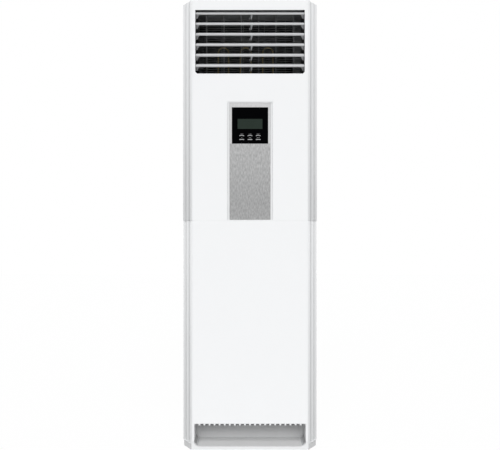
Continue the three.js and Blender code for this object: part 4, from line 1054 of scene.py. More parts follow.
@dataclass
class Fasteners:
    """Hexagon washer-head screws of the back panel and the top cover."""

    side_x: float = 0.258
    side_heights: Sequence[float] = (0.07, 0.38, 0.70, 1.03, 1.36, 1.69)
    other_places: Sequence[Flat] = (
        (-0.12, 0.045), (0.12, 0.045), (-0.2, 1.77), (0.0, 1.77), (0.2, 1.77),
        (-0.05, 1.6905), (0.05, 1.6905),
    )
    sunk: float = 0.0004
    washer_radius: float = 0.0052
    washer_height: float = 0.0005
    washer_sides: int = 20
    washer_rounding: Rounding = Rounding(0.0002)
    head_radius: float = 0.0038
    head_height: float = 0.0017
    head_rounding: Rounding = Rounding(0.0003)

    def build(self) -> None:
        """Builds the screws in one piece."""
        piece = Workpiece("casing_screws")
        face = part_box("back_panel")[1].y
        places = [(side * self.side_x, z) for side in SIDES for z in self.side_heights]
        for x, z in (*places, *self.other_places):
            washer, head = (x, face + self.washer_height, z), (x, face + self.head_height, z)
            root = (x, face - self.sunk, z)
            piece.rod(root, washer, self.washer_radius, self.washer_sides, self.washer_rounding)
            piece.rod((x, face + self.sunk, z), head, self.head_radius, HEXAGON, self.head_rounding)
        piece.finish(SCREW_STEEL)


@dataclass
class AirOutlet:
    """Frame, louvres, vanes, guard, heaters and what drives them."""

    blade_count: int = 6
    louvre_rounding: Rounding = Rounding(0.0007)
    link_rounding: Rounding = Rounding(0.0005)
    sheet_rounding: Rounding = Rounding(0.0004)
    motor_rounding: Rounding = Rounding(0.001)
    foam_rounding: Rounding = Rounding(0.002)
    window_half: float = 0.216
    window_low: float = 1.486
    window_high: float = 1.748
    chamfer: float = 0.007
    wall_facing: float = 0.8
    ring_radius: float = 0.002
    ring_resolution: int = 3
    wire_radius: float = 0.001
    wire_pitch: float = 0.00863
    wire_sides: int = 8
    wire_weld: float = 0.0002
    uprights: Sequence[float] = (-0.118, -0.028, 0.06, 0.148)
    heater_places: Sequence[float] = (-0.1135, -0.0185, 0.0765)
    heater_radius: float = 0.0036
    heater_bend: float = 0.022
    heater_steps: int = 24
    heater_foot: float = 1.4403
    heater_top: float = 1.649
    fitting_radius: float = 0.0062
    fitting_height: float = 0.012
    fitting_sides: int = 20
    fitting_rounding: Rounding = Rounding(0.0008)

    def build(self) -> None:
        """Builds the outlet."""
        piece = Workpiece("outlet_frame_dressed").node("outlet_frame").finish(DUCT_PLASTIC, "outlet_frame")
        # The duct's inner side walls get dark plastic as painted shade.
        repaint(piece, (DARK_PLASTIC,), self._wall_painted_shade)
        for index in range(1, self.blade_count + 1):
            louvre, vane = f"louvre_{index}", f"vane_{index}"
            dress(louvre, LOUVRE_PLASTIC, self.louvre_rounding, f"{louvre}_body")
            dress(vane, VANE_PLASTIC, body=f"{vane}_body")
        for link in ("louvre_link", "vane_link"):
            dress(f"{link}_bar", LINK_PLASTIC, self.link_rounding, link)
        dress("swing_crank", DARK_PLASTIC, self.sheet_rounding, "crank")
        dress("swing_motor", ZINC, self.motor_rounding)
        dress("heater_bracket", ZINC, self.sheet_rounding)
        dress("ceiling_foam", BEAD_FOAM, self.foam_rounding)
        self._guard()
        for index, middle in enumerate(self.heater_places, start=1):
            self._heater(f"heater_{index}", middle)

    def _wall_painted_shade(self, face: bpy.types.MeshPolygon) -> int:
        """Returns 1 for the inner walls at both sides of the duct, which get dark plastic as painted shade.
        """
        beside = abs(abs(face.center.x) - self.window_half) < self.chamfer
        return int(beside and abs(face.normal.x) > self.wall_facing and face.normal.x * face.center.x < 0)

    def _guard(self) -> None:
        """Builds the wire guard with all of its wires."""
        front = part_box("outlet_guard")[0].y
        half = self.window_half - GAP - self.ring_radius
        foot = self.window_low + GAP + self.ring_radius
        top = self.window_high - GAP - self.ring_radius
        inner, corner, ring_y = half - self.chamfer, foot + self.chamfer, front + self.ring_radius
        loop = ((-inner, foot), (inner, foot), (half, corner), (half, top), (-half, top), (-half, corner))
        piece = Workpiece("outlet_guard_wires")
        piece.tube([Vector((x, ring_y, z)) for x, z in loop], self.ring_radius, self.ring_resolution, True)
        y, z = front + self.wire_radius, foot + self.wire_pitch
        while z < top - self.wire_pitch / 2:
            piece.rod((-half, y, z), (half, y, z), self.wire_radius, self.wire_sides)
            z += self.wire_pitch
        y += 2 * self.wire_radius - self.wire_weld
        for x in self.uprights:
            piece.rod((x, y, foot), (x, y, top), self.wire_radius, self.wire_sides)
        piece.finish(GUARD_WIRE, "outlet_guard", weighted=False)

    def _heater(self, node: str, middle: float) -> None:
        """Builds a hairpin heater with its two end fittings.

        Args:
            node: the heater's solid.
            middle: the place of its middle from left to right.
        """
        low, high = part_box(node)
        y, foot, bend = (low.y + high.y) / 2, self.heater_foot, self.heater_bend
        centre = (middle, self.heater_top - self.heater_radius - bend)
        curve = arc(centre, bend, math.pi, 0, self.heater_steps)
        line = [Vector((x, y, z)) for x, z in ((middle - bend, foot), *curve, (middle + bend, foot))]
        piece = Workpiece(f"{node}_hairpin").tube(line, self.heater_radius)
        for x in (middle - bend, middle + bend):
            top = (x, y, foot + self.fitting_height)
            piece.rod((x, y, foot), top, self.fitting_radius, self.fitting_sides, self.fitting_rounding)
        piece.finish(HEATED_STEEL, node, weighted=False)


@dataclass
class ControlPanel:
    """Bezel, brushed plate, display, buttons and the circuit board behind them."""

    bezel_rounding: Rounding = Rounding(0.0005)
    plate_rounding: Rounding = Rounding(0.0003)
    fascia_rounding: Rounding = Rounding(0.00025)
    box_rounding: Rounding = Rounding(0.0008)
    button_rounding: Rounding = Rounding(0.0005, 3)
    button_count: int = 6
    strip_inset: float = 0.0006
    strip_over: float = 0.0008
    strip_inside: float = 0.00025
    strip_outside: float = 0.0002
    surround_inner: float = 0.0719
    surround_outer: float = 0.0798
    surround_proud: float = 0.0006
    surround_rooted: float = 0.0002
    surround_gap: float = 0.0004
    surround_rounding: Rounding = Rounding(0.0002)
    mark_lift: float = 0.00012
    mark_rooted: float = 0.0001
    digit_places: Sequence[float] = (-0.0075, 0.0095)
    digit_width: float = 0.011
    digit_height: float = 0.022
    digit_bar: float = 0.0018
    button_spacing: float = 0.0324
    upper_mark_rise: float = 0.0065
    lower_mark_rise: float = 0.0075
    mark_size: float = 0.0018
    ring_width: float = 0.0005
    ring_steps: int = 20
    stroke_half: float = 0.0003
    dash_offset: float = 0.0045
    dash: Flat = (0.0014, 0.0004)
    bar_pitch: float = 0.0042
    bar: Flat = (0.0016, 0.0007)
    board_half: float = 0.066
    board_margin: float = 0.012
    board_inside: float = 0.008
    board_thickness: float = 0.0016
    board_rounding: Rounding = Rounding(0.0003)
    solder: float = 0.0002
    chips: Sequence[Sequence[float]] = (
        (-0.04, 0.03, 0.018, 0.018, 0.003), (0.01, 0.028, 0.028, 0.012, 0.004),
        (0.045, 0.05, 0.012, 0.02, 0.012), (-0.03, 0.1, 0.03, 0.008, 0.009),
        (0.03, 0.105, 0.02, 0.008, 0.009),
    )
    chip_rounding: Rounding = Rounding(0.0006)
    can_places: Sequence[float] = (-0.012, 0.0, 0.012)
    can_rise: float = 0.06
    can_radius: float = 0.004
    can_height: float = 0.0126
    can_sides: int = 16
    can_rounding: Rounding = Rounding(0.0005)

    def build(self) -> None:
        """Builds the control panel."""
        dress("control_bezel", WHITE_PLASTIC, self.bezel_rounding)
        dress("trim_plate", BRUSHED_PLATE, self.plate_rounding)
        dress("display_fascia", BLACK_GLOSS, self.fascia_rounding)
        dress("lcd_window", DISPLAY)
        dress("control_box", DARK_PLASTIC, self.box_rounding)
        for index in range(1, self.button_count + 1):
            dress(f"button_{index}", BUTTON_SILVER, self.button_rounding, f"button_{index}_body")
        self._end_strips()
        self._surround()
        self._segments()
        self._marks()
        self._board()

    def _end_strips(self) -> None:
        """Builds the white strips that close the bezel over and under the plate."""
        low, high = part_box("control_bezel")
        half, back = high.x - self.strip_inset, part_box("trim_plate")[0].y + self.strip_over
        piece = Workpiece("bezel_end_strips")
        for side, end in zip(SIDES, (low.z, high.z)):
            foot, top = sorted((end - side * self.strip_inside, end + side * self.strip_outside))
            piece.box((-half, low.y + GAP, foot), (half, back, top))
        piece.finish(WHITE_PLASTIC)

    def _surround(self) -> None:
        """Builds the frame that stands slightly proud over and beside the display, paler than the plate as
        painted highlight.
        """
        low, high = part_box("display_fascia")
        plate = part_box("trim_plate")
        front, back = plate[0].y - self.surround_proud, plate[0].y + self.surround_rooted
        top = plate[1].z - self.surround_gap
        inner, outer = self.surround_inner, self.surround_outer
        over = high.z + self.surround_gap
        piece = Workpiece("display_surround")
        for left, right, foot in ((-outer, -inner, low.z), (inner, outer, low.z), (-inner, inner, over)):
            piece.box((left, front, foot), (right, back, top), self.surround_rounding)
        piece.finish(PAINTED_HIGHLIGHT_METAL)

    def _segments(self) -> None:
        """Builds the unlit segments of two digits, just visible on the display."""
        low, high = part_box("lcd_window")
        front, back, bar = low.y - self.mark_lift, low.y + self.mark_rooted, self.digit_bar
        middle = (low.z + high.z) / 2
        foot, top = middle - self.digit_height / 2, middle + self.digit_height / 2
        piece = Workpiece("display_segments")
        for centre in self.digit_places:
            left, right = centre - self.digit_width / 2, centre + self.digit_width / 2
            for z in (foot, middle - bar / 2, top - bar):
                piece.box((left + bar, front, z), (right - bar, back, z + bar))
            for x in (left, right - bar):
                piece.box((x, front, foot + bar), (x + bar, back, middle - bar))
                piece.box((x, front, middle + bar), (x + bar, back, top - bar))
        piece.finish(DISPLAY_MARKS, weighted=False)

    def _marks(self) -> None:
        """Builds the small printed marks over the buttons."""
        piece = Workpiece("button_marks")
        upper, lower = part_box("button_1"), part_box("button_4")
        for column in (-1, 0, 1):
            x = column * self.button_spacing
            self._upper_mark(piece, column, x, (upper[0].z + upper[1].z) / 2 + self.upper_mark_rise)
            self._lower_mark(piece, column + 2, x, (lower[0].z + lower[1].z) / 2 + self.lower_mark_rise)
        piece.finish(PRINTED_MARKS, weighted=False)

    def _print_depths(self) -> Flat:
        """Returns how far in front and how far back the printed marks reach."""
        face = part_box("display_fascia")[0].y
        return face - self.mark_lift, face + self.mark_rooted

    def _printed_box(self, piece: Workpiece, x: float, z: float, half: Flat) -> None:
        """Adds a printed rectangle.

        Args:
            piece: the piece that it goes into.
            x: its middle from left to right.
            z: its middle height.
            half: half its width and half its height.
        """
        front, back = self._print_depths()
        piece.box((x - half[0], front, z - half[1]), (x + half[0], back, z + half[1]))

    def _upper_mark(self, piece: Workpiece, column: int, x: float, z: float) -> None:
        """Adds the mark over an upper button: a stroke in a ring, or a triangle, between two dashes.

        Args:
            piece: the piece that it goes into.
            column: the button's column, from -1 to 1.
            x: the mark's middle from left to right.
            z: its middle height.
        """
        size = self.mark_size
        front, back = self._print_depths()
        if column == -1:
            thick, inner = back - front, size - self.ring_width
            ring = ((size, 0), (size, thick), (inner, thick), (inner, 0))
            piece.lathe(ring, (x, front, z), self.ring_steps)
            self._printed_box(piece, x, z + size / 2, (self.stroke_half, size / 2))
        else:
            tip = size if column == 0 else -size
            corners = [(x - size, front, z - tip / 2), (x + size, front, z - tip / 2), (x, front, z + tip)]
            piece.prism(corners, (0, back - front, 0))
        for side in SIDES:
            self._printed_box(piece, x + side * self.dash_offset, z, self.dash)

    def _lower_mark(self, piece: Workpiece, count: int, x: float, z: float) -> None:
        """Adds the mark over a lower button: a row of short bars.

        Args:
            piece: the piece that it goes into.
            count: how many bars it has.
            x: the mark's middle from left to right.
            z: its middle height.
        """
        for index in range(count):
            self._printed_box(piece, x + (index - (count - 1) / 2) * self.bar_pitch, z, self.bar)

    def _board(self) -> None:
        """Builds the circuit board behind the display, with a few components."""
        low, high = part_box("control_box")
        front, foot = low.y + self.board_inside, low.z + self.board_margin
        back = front + self.board_thickness
        board = Workpiece("control_board")
        top = (self.board_half, back, high.z - self.board_margin)
        board.box((-self.board_half, front, foot), top, self.board_rounding).finish(BOARD_GREEN)
        parts = Workpiece("board_components")
        root = back - self.solder
        for x, rise, width, height, depth in self.chips:
            z = foot + rise
            corner = (x + width / 2, root + depth, z + height / 2)
            parts.box((x - width / 2, root, z - height / 2), corner, self.chip_rounding)
        z = foot + self.can_rise
        for x in self.can_places:
            end = (x, root + self.can_height, z)
            parts.rod((x, root, z), end, self.can_radius, self.can_sides, self.can_rounding)
        parts.finish(DARK_PLASTIC)


@dataclass
class CoolingCircuit:
    """Finned coil, drain pan, pipes and flare nuts."""

    foot: Point = (0.0, -0.045, 1.01)
    shift: float = 0.16
    rise: float = 0.705
    half_width: float = 0.203
    thickness: float = 0.044
    fin_pitch: float = 0.0028
    fin_thickness: float = 0.0004
    plate: float = 0.002
    plate_margin: float = 0.004
    plate_rounding: Rounding = Rounding(0.0004)
    tube_pitch: float = 0.0254
    tube_rows: Sequence[float] = (-0.011, 0.011)
    tube_radius: float = 0.0035
    tube_sides: int = 10
    tube_end: float = 0.001
    first_tube: float = 0.015
    tube_margin: float = 0.02
    bend_tube: float = 0.0036
    bend_straight: float = 0.002
    bend_steps: int = 10
    bend_resolution: int = 2
    bend_clearance: float = 0.032
    pan_rounding: Rounding = Rounding(0.0006)
    pipe_resolution: int = 5
    outlet_z: float = 0.235
    pipe_end: float = 0.1782
    gas_z: float = 1.3
    gas_x: float = 0.232
    gas_back: float = 0.13
    gas_drop: float = 0.12
    gas_bend: float = 0.02
    gas_radius: float = 0.0094
    gas_flats: float = 0.036
    liquid_z: float = 1.1
    liquid_x: float = 0.214
    liquid_back: float = 0.12
    liquid_drop: float = 0.06
    liquid_low: float = 0.3
    liquid_out: Flat = (0.19, 0.13)
    liquid_bend: float = 0.008
    liquid_radius: float = 0.0047
    liquid_flats: float = 0.022
    drain_x: float = -0.238
    drain_line: Sequence[Flat] = ((-0.02, 0.28), (0.12, 0.16), (0.188, 0.16))
    drain_bend: float = 0.03
    drain_radius: float = 0.0086
    spigot_length: float = 0.03
    spigot_radius: float = 0.009
    spigot_rounding: Rounding = Rounding(0.0005)
    nut_rounding: Rounding = Rounding(0.0006)
    collar_share: float = 0.8
    collar_depth: float = 0.001
    collar_sides: int = 28

    def build(self) -> None:
        """Builds the cooling circuit."""
        self._coil()
        dress("drain_pan", GREY_PLASTIC, self.pan_rounding)
        self._refrigerant_pipes()
        self._drain()
        self._nut("gas_flare_nut", self.gas_x, self.gas_flats)
        self._nut("liquid_flare_nut", self.liquid_out[0], self.liquid_flats)

    def _coil(self) -> None:
        """Builds the coil, upright at first and then leaned: fins, end plates and tubes."""
        lean = Matrix.Translation(self.foot) @ Matrix.Rotation(-math.atan2(self.shift, self.rise), 4, "X")
        length = math.hypot(self.shift, self.rise)
        half, deep = self.half_width, self.thickness / 2
        fins = Workpiece("coil_fins")
        count = int(2 * half / self.fin_pitch)
        for index in range(1, count):
            x = -half + index * 2 * half / count
            fins.box((x - self.fin_thickness / 2, -deep, 0), (x + self.fin_thickness / 2, deep, length))
        fins.turn(lean).finish(FIN_ALUMINIUM, "evaporator_coil", weighted=False)
        plates = Workpiece("coil_end_plates")
        deep += self.plate_margin
        for side in SIDES:
            near, far = sorted((side * half, side * (half + self.plate)))
            plates.box((near, -deep, 0), (far, deep, length), self.plate_rounding)
        plates.turn(lean).finish(ZINC)
        self._tubes(length, lean)

    def _tubes(self, length: float, lean: Matrix) -> None:
        """Builds the coil's tubes, with return bends on the right that stay clear of the pipes.

        Args:
            length: the coil's length.
            lean: its place and lean.
        """
        tubes, bends = Workpiece("coil_tubes"), Workpiece("coil_return_bends")
        end = self.half_width + self.tube_end
        rows = int((length - self.tube_margin) / self.tube_pitch)
        for row in range(rows):
            z = self.first_tube + row * self.tube_pitch
            for y in self.tube_rows:
                tubes.rod((-end, y, z), (end, y, z), self.tube_radius, self.tube_sides)
                height = (lean @ Vector((0, y, z + self.tube_pitch / 2))).z
                pipe = min(abs(height - taken) for taken in (self.gas_z, self.liquid_z))
                if row % 2 == 0 and row + 1 < rows and pipe > self.bend_clearance:
                    bends.tube(self._return_bend(end, y, z), self.bend_tube, self.bend_resolution)
        tubes.turn(lean).finish(FIN_ALUMINIUM, weighted=False)
        bends.turn(lean).finish(COPPER, weighted=False)

    def _return_bend(self, end: float, y: float, z: float) -> list[Vector]:
        """Lays out a return bend between two rows of tubes.

        Args:
            end: where the tubes end on the right.
            y: their depth.
            z: the height of the lower one.

        Returns:
            The points of the bend's middle line.
        """
        radius, quarter = self.tube_pitch / 2, math.pi / 2
        curve = arc((end + self.bend_straight, z + radius), radius, -quarter, quarter, self.bend_steps)
        return [Vector((x, y, height)) for x, height in ((end, z), *curve, (end, z + 2 * radius))]

    def _refrigerant_pipes(self) -> None:
        """Builds the gas and liquid pipes, which leave the coil's right end level with its middle."""
        start, out, end = self.half_width + self.plate + GAP, self.outlet_z, self.pipe_end
        slope = self.shift / self.rise
        x, z, back = self.gas_x, self.gas_z, self.gas_back
        y = self.foot[1] + (z - self.foot[2]) * slope
        gas = ((start, y, z), (x, y, z), (x, back, z - self.gas_drop), (x, back, out), (x, end, out))
        route = rounded_route(gas, self.gas_bend)
        piece = Workpiece("gas_pipe_bent").tube(route, self.gas_radius, self.pipe_resolution)
        piece.finish(COPPER, "gas_pipe", weighted=False)
        x, z, back = self.liquid_x, self.liquid_z, self.liquid_back
        y = self.foot[1] + (z - self.foot[2]) * slope
        liquid = (
            (start, y, z), (x, y, z), (x, back, z - self.liquid_drop), (x, back, self.liquid_low),
            (*self.liquid_out, out), (self.liquid_out[0], end, out),
        )
        route = rounded_route(liquid, self.liquid_bend)
        piece = Workpiece("liquid_pipe_bent").tube(route, self.liquid_radius)
        piece.finish(COPPER, "liquid_pipe", weighted=False)

    def _drain(self) -> None:
        """Builds the drain pipe, with the spigot of the pan that it fits."""
        x, y, top = self.drain_x, self.drain_line[0][0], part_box("drain_pipe")[1].z
        line = [(x, y, top), *((x, *spot) for spot in self.drain_line)]
        route = rounded_route(line, self.drain_bend)
        piece = Workpiece("drain_pipe_bent").tube(route, self.drain_radius, self.pipe_resolution)
        foot = (x, y, top - self.spigot_length)
        piece.rod(foot, (x, y, top), self.spigot_radius, rounding=self.spigot_rounding)
        piece.finish(GREY_PLASTIC, "drain_pipe", weighted=False)

    def _nut(self, node: str, x: float, flats: float) -> None:
        """Builds a flare nut with a round collar in its end.

        Args:
            node: the nut's solid.
            x: its place from left to right.
            flats: its width across the flats.
        """
        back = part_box(node)[1].y
        piece = Workpiece(f"{node}_turned").node(node, self.nut_rounding)
        radius = flats / math.sqrt(3) * self.collar_share
        end = (x, back, self.outlet_z)
        piece.rod((x, back - self.collar_depth, self.outlet_z), end, radius, self.collar_sides)
        piece.finish(BRASS, node)


@dataclass
class Blower:
    """Deck, partition with inlet ring, scroll housing, wheel, motor and filter."""

    centre_z: float = 0.38
    sheet_rounding: Rounding = Rounding(0.0004)
    inlet_radius: float = 0.118
    ring_steps: int = 64
    ring_profile: Sequence[Flat] = (
        (0.006, 0.0), (0.004, -0.0042), (-0.0005, -0.0046), (-0.006, -0.0036), (-0.0085, 0.002),
        (-0.0085, 0.008), (-0.0073, 0.008), (-0.0073, 0.0022), (-0.0045, -0.0022), (0.0, -0.0031),
    )
    wheel_radius: float = 0.15
    wheel_depth: float = 0.099
    wheel_steps: int = 96
    disc_bore: float = 0.012
    disc_thickness: float = 0.0022
    rim_depth: float = 0.0035
    rim_inset: float = 0.004
    hub_depth: float = 0.018
    hub_steps: int = 32
    hub_profile: Sequence[Flat] = (
        (0.0061, 0.0), (0.02, 0.0), (0.02, -0.011), (0.016, -0.018), (0.0061, -0.018),
    )
    shaft_radius: float = 0.006
    shaft_rounding: Rounding = Rounding(0.0006)
    blade_count: int = 48
    blade_depth: float = 0.026
    blade_inset: float = 0.0005
    blade_short: float = 0.0015
    blade_front: float = 0.002
    blade_back: float = 0.0015
    blade_thickness: float = 0.0012
    blade_turn: float = math.radians(9)
    blade_steps: int = 5
    motor_radius: float = 0.058
    motor_steps: int = 48
    flange_radius: float = 0.072
    flange_thickness: float = 0.004
    flange_edge: float = 0.001
    bore_radius: float = 0.0068
    bore_depth: float = 0.0362
    groove_start: float = 0.014
    groove_end: float = 0.02
    groove_pitch: float = 0.0074
    groove_depth: float = 0.003
    groove_slope: float = 0.0006
    groove_floor: float = 0.002
    can_end: Sequence[Flat] = ((0.058, 0.01), (0.052, 0.003), (0.02, 0.002), (0.018, 0.0), (0.0, 0.0))
    bolt_count: int = 4
    bolt_circle: float = 0.065
    bolt_radius: float = 0.005
    bolt_reach: Flat = (0.0035, 0.008)
    bolt_rounding: Rounding = Rounding(0.0004)
    rim: float = 0.008
    rim_rounding: Rounding = Rounding(0.0012)
    bar_places: Sequence[float] = (-0.095, 0.0, 0.095)
    bar_half: float = 0.0025
    bar_inset: float = 0.002
    rail_heights: Sequence[float] = (0.14, 0.28)
    rail_half: float = 0.002
    rail_inset: float = 0.003
    bar_rounding: Rounding = Rounding(0.0006)
    net_pitch: float = 0.005
    net_wire: float = 0.0006
    net_margin: float = 0.002
    net_depths: Flat = (0.0014, 0.0013)

    def build(self) -> None:
        """Builds the blower."""
        dress("blower_deck", ZINC, self.sheet_rounding)
        dress("fan_partition", ZINC, self.sheet_rounding)
        dress("scroll_housing", ZINC)
        ring = Workpiece("inlet_ring")
        profile = [(self.inlet_radius + out, depth) for out, depth in self.ring_profile]
        ring.lathe(profile, self._centre(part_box("fan_partition")[1].y), self.ring_steps)
        ring.finish(ZINC, weighted=False)
        self._wheel()
        self._motor()
        self._filter()

    def _centre(self, y: float) -> Point:
        """Returns the point of the wheel's axis at a depth."""
        return 0.0, y, self.centre_z

    def _wheel(self) -> None:
        """Builds the wheel: disc, front rim, hub, shaft and forward-curved blades."""
        low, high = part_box("fan_wheel")
        front, radius = low.y, self.wheel_radius
        back = front + self.wheel_depth
        inner = radius - self.blade_depth
        lip = inner + self.rim_inset
        bore, thick = self.disc_bore, self.disc_thickness
        disc = ((bore, 0), (radius, 0), (radius, -thick), (bore, -thick))
        rim = ((radius, 0), (radius, self.rim_depth), (lip, self.rim_depth), (lip, 0))
        piece = Workpiece("fan_wheel_bladed").lathe(disc, self._centre(back), self.wheel_steps)
        piece.lathe(rim, self._centre(front), self.wheel_steps)
        piece.lathe(self.hub_profile, self._centre(back), self.hub_steps)
        nose, end = self._centre(back - self.hub_depth), self._centre(high.y)
        piece.rod(nose, end, self.shaft_radius, rounding=self.shaft_rounding)
        piece.absorb(self._blades(front, inner))
        piece.finish(DARK_PLASTIC, "fan_wheel", "fan", weighted=False)

    def _blades(self, front: float, inner: float) -> bmesh.types.BMesh:
        """Makes one blade and spins it into the whole row.

        Args:
            front: the depth of the wheel's front.
            inner: the radius at which the blades start.

        Returns:
            The blades.
        """
        part = bmesh.new()
        sides = ([], [])
        for step in range(self.blade_steps + 1):
            share = step / self.blade_steps
            reach = inner + self.blade_inset + (self.blade_depth - self.blade_short) * share
            turn = self.blade_turn * share**2
            for side, found in zip(SIDES, sides):
                shift = side * self.blade_thickness / 2
                x = reach * math.cos(turn) - shift * math.sin(turn)
                z = self.centre_z + reach * math.sin(turn) + shift * math.cos(turn)
                found.append(part.verts.new((x, front + self.blade_front, z)))
        face = part.faces.new(sides[0] + sides[1][::-1])
        extrude(part, [face], (0, self.wheel_depth - self.blade_front - self.blade_back, 0))
        whole = part.verts[:] + part.edges[:] + part.faces[:]
        copies = self.blade_count - 1
        bmesh.ops.spin(
            part, geom=whole, cent=self._centre(front), axis=BACKWARDS, dvec=ORIGIN,
            angle=2 * math.pi / self.blade_count * copies, steps=copies, use_duplicate=True,
        )
        return part

    def _motor(self) -> None:
        """Builds the motor: a grooved can on a round flange with four bolts."""
        low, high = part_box("fan_motor")
        length, can, floor = high.y - low.y, self.motor_radius, self.motor_radius - self.groove_depth
        flange, thick, edge = self.flange_radius, self.flange_thickness, self.flange_edge
        profile = [(self.bore_radius, 0.0), (flange - edge, 0.0), (flange, edge), (flange, thick - edge)]
        profile += [(flange - edge, thick), (can, thick)]
        depth = self.groove_start
        while depth < length - self.groove_end:
            profile += [(can, depth), (floor, depth + self.groove_slope)]
            far = depth + self.groove_slope + self.groove_floor
            profile += [(floor, far), (can, far + self.groove_slope)]
            depth += self.groove_pitch
        profile += [(radius, length - short) for radius, short in self.can_end]
        profile += [(0.0, self.bore_depth), (self.bore_radius, self.bore_depth)]
        piece = Workpiece("fan_motor_can").lathe(profile, self._centre(low.y), self.motor_steps)
        piece.finish(ZINC, "fan_motor", weighted=False)
        bolts = Workpiece("fan_motor_bolts")
        half = math.pi / self.bolt_count
        spots = arc((0.0, self.centre_z), self.bolt_circle, half, 2 * math.pi - half, self.bolt_count - 1)
        for x, z in spots:
            start, end = ((x, low.y + reach, z) for reach in self.bolt_reach)
            bolts.rod(start, end, self.bolt_radius, HEXAGON, self.bolt_rounding)
        bolts.finish(SCREW_STEEL)

    def _filter(self) -> None:
        """Builds the filter: a frame with bars, rails and a net."""
        low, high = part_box("air_filter")
        half, rim, front, back = high.x, self.rim, low.y, high.y
        piece = Workpiece("air_filter_net")
        for left, right, foot, top in (
            (-half, half, low.z, low.z + rim), (-half, half, high.z - rim, high.z),
            (-half, rim - half, low.z, high.z), (half - rim, half, low.z, high.z),
        ):
            piece.box((left, front, foot), (right, back, top), self.rim_rounding)
        near = front + self.bar_inset
        foot, top = low.z + rim / 2, high.z - rim / 2
        for x in self.bar_places:
            piece.box((x - self.bar_half, near, foot), (x + self.bar_half, back, top), self.bar_rounding)
        near, side = front + self.rail_inset, half - rim / 2
        for rise in self.rail_heights:
            z = low.z + rise
            piece.box((-side, near, z - self.rail_half), (side, back, z + self.rail_half), self.bar_rounding)
        self._net(piece)
        piece.finish(DARK_PLASTIC, "air_filter", "filter")

    def _net(self, piece: Workpiece) -> None:
        """Adds the upright and level wires of the filter's net.

        Args:
            piece: the filter.
        """
        low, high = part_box("air_filter")
        wire, upright, level = self.net_wire, *(high.y - depth for depth in self.net_depths)
        side, foot, top = high.x - self.net_margin, low.z + self.net_margin, high.z - self.net_margin
        for index in range(1, int(2 * high.x / self.net_pitch)):
            x = -high.x + index * self.net_pitch
            piece.box((x - wire / 2, upright, foot), (x + wire / 2, upright + wire, top))
        for index in range(1, int((high.z - low.z) / self.net_pitch)):
            z = low.z + index * self.net_pitch
            piece.box((-side, level, z - wire / 2), (side, level + wire, z + wire / 2))


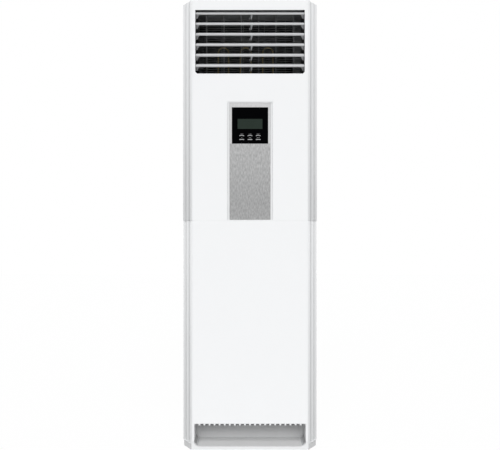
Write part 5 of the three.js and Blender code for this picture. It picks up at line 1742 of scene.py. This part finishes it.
@dataclass
class Studio:
    """Floor, light and camera."""

    camera_place: Point = (0.0, -2.46, 0.888)
    lens: float = 41.4
    sensor: float = 36.0
    dome_strength: float = 0.34
    dome_colour: Point = (0.985, 0.992, 1.0)
    front_strength: float = 2.79
    front_angle: float = math.radians(40)
    front_direction: Point = (0.0, 1.0, -0.9)
    floor_half: float = 8.0
    floor_colour: Point = (0.43, 0.43, 0.43)
    floor_roughness: float = 0.8
    floor_specular: float = 0.1
    floor_glow: float = 1.04
    floor_white: float = 0.93

    def build(self) -> None:
        """Builds the studio."""
        self._camera()
        self._floor()
        self._dome()
        self._front_light()

    @staticmethod
    def _placed(name: str, data: bpy.types.ID) -> bpy.types.Object:
        """Makes an object of the scene.

        Args:
            name: the object's name.
            data: its camera, light or mesh.

        Returns:
            The object.
        """
        made = bpy.data.objects.new(name, data)
        bpy.context.scene.collection.objects.link(made)
        return made

    def _camera(self) -> None:
        """Builds the level camera in front of the object."""
        data = bpy.data.cameras.new("front camera")
        data.lens = self.lens
        data.sensor_width = self.sensor
        camera = self._placed("front camera", data)
        camera.location = self.camera_place
        camera.rotation_euler = (math.pi / 2, 0, 0)
        bpy.context.scene.camera = camera

    @staticmethod
    def _seen_white(wiring: Wiring) -> Socket:
        """Finds the rays for which the background is white.

        Args:
            wiring: the wiring of the floor or the world.

        Returns:
            A socket that is 1 for rays of the camera, of gloss and through glass.
        """
        rays = wiring.add("LightPath", {}).outputs
        seen = wiring.math("MAXIMUM", rays["Is Camera Ray"], rays["Is Glossy Ray"])
        return wiring.math("MAXIMUM", seen, rays["Is Transmission Ray"])

    def _floor(self) -> None:
        """Builds the pale floor, which turns white for the camera but keeps a faint shadow."""
        part = bmesh.new()
        bmesh.ops.create_grid(part, x_segments=1, y_segments=1, size=self.floor_half)
        data = bpy.data.meshes.new("floor")
        part.to_mesh(data)
        part.free()
        made = bpy.data.materials.new("pale floor")
        made.use_nodes = True
        wiring, nodes = Wiring(made.node_tree), made.node_tree.nodes
        shader = nodes["Principled BSDF"]
        wiring.feed(shader, {
            "Base Color": (*self.floor_colour, 1.0), "Roughness": self.floor_roughness,
            "Specular IOR Level": self.floor_specular,
        })
        glow = wiring.add("Emission", {"Strength": self.floor_glow})
        share = wiring.math("MULTIPLY", self._seen_white(wiring), self.floor_white)
        mix = wiring.add("MixShader", {"Fac": share, 1: shader.outputs[0], 2: glow.outputs[0]})
        wiring.feed(nodes["Material Output"], {"Surface": mix.outputs[0]})
        data.materials.append(made)
        self._placed("floor", data)

    def _dome(self) -> None:
        """Builds the even light from all round, which the camera sees as white."""
        world = bpy.data.worlds.new("studio")
        world.use_nodes = True
        bpy.context.scene.world = world
        wiring, nodes = Wiring(world.node_tree), world.node_tree.nodes
        light = nodes["Background"]
        wiring.feed(light, {"Color": (*self.dome_colour, 1.0), "Strength": self.dome_strength})
        white = wiring.add("Background", {"Color": (*EVEN, 1.0)})
        mix = {"Fac": self._seen_white(wiring), 1: light.outputs[0], 2: white.outputs[0]}
        wiring.feed(nodes["World Output"], {"Surface": wiring.add("MixShader", mix).outputs[0]})

    def _front_light(self) -> None:
        """Builds the wide soft light from the front."""
        data = bpy.data.lights.new("front light", "SUN")
        data.energy = self.front_strength
        data.angle = self.front_angle
        light = self._placed("front light", data)
        light.rotation_euler = Vector(self.front_direction).to_track_quat("-Z", "Y").to_euler()
        light.visible_glossy = False


def main() -> None:
    """Builds the studio and every sub-assembly."""
    logging.basicConfig(level=logging.INFO, format="%(name)s: %(message)s")
    bpy.context.scene.view_settings.view_transform = "Standard"
    for assembly in (
        Studio(), FrontPanels(), Plinth(), InletRecess(), CornerTrims(), SideAndBackPanels(), Fasteners(),
        AirOutlet(), ControlPanel(), CoolingCircuit(), Blower(),
    ):
        assembly.build()
        LOG.info("%s is built", type(assembly).__name__)
    bpy.context.view_layer.update()


if __name__ == "__main__":
    main()
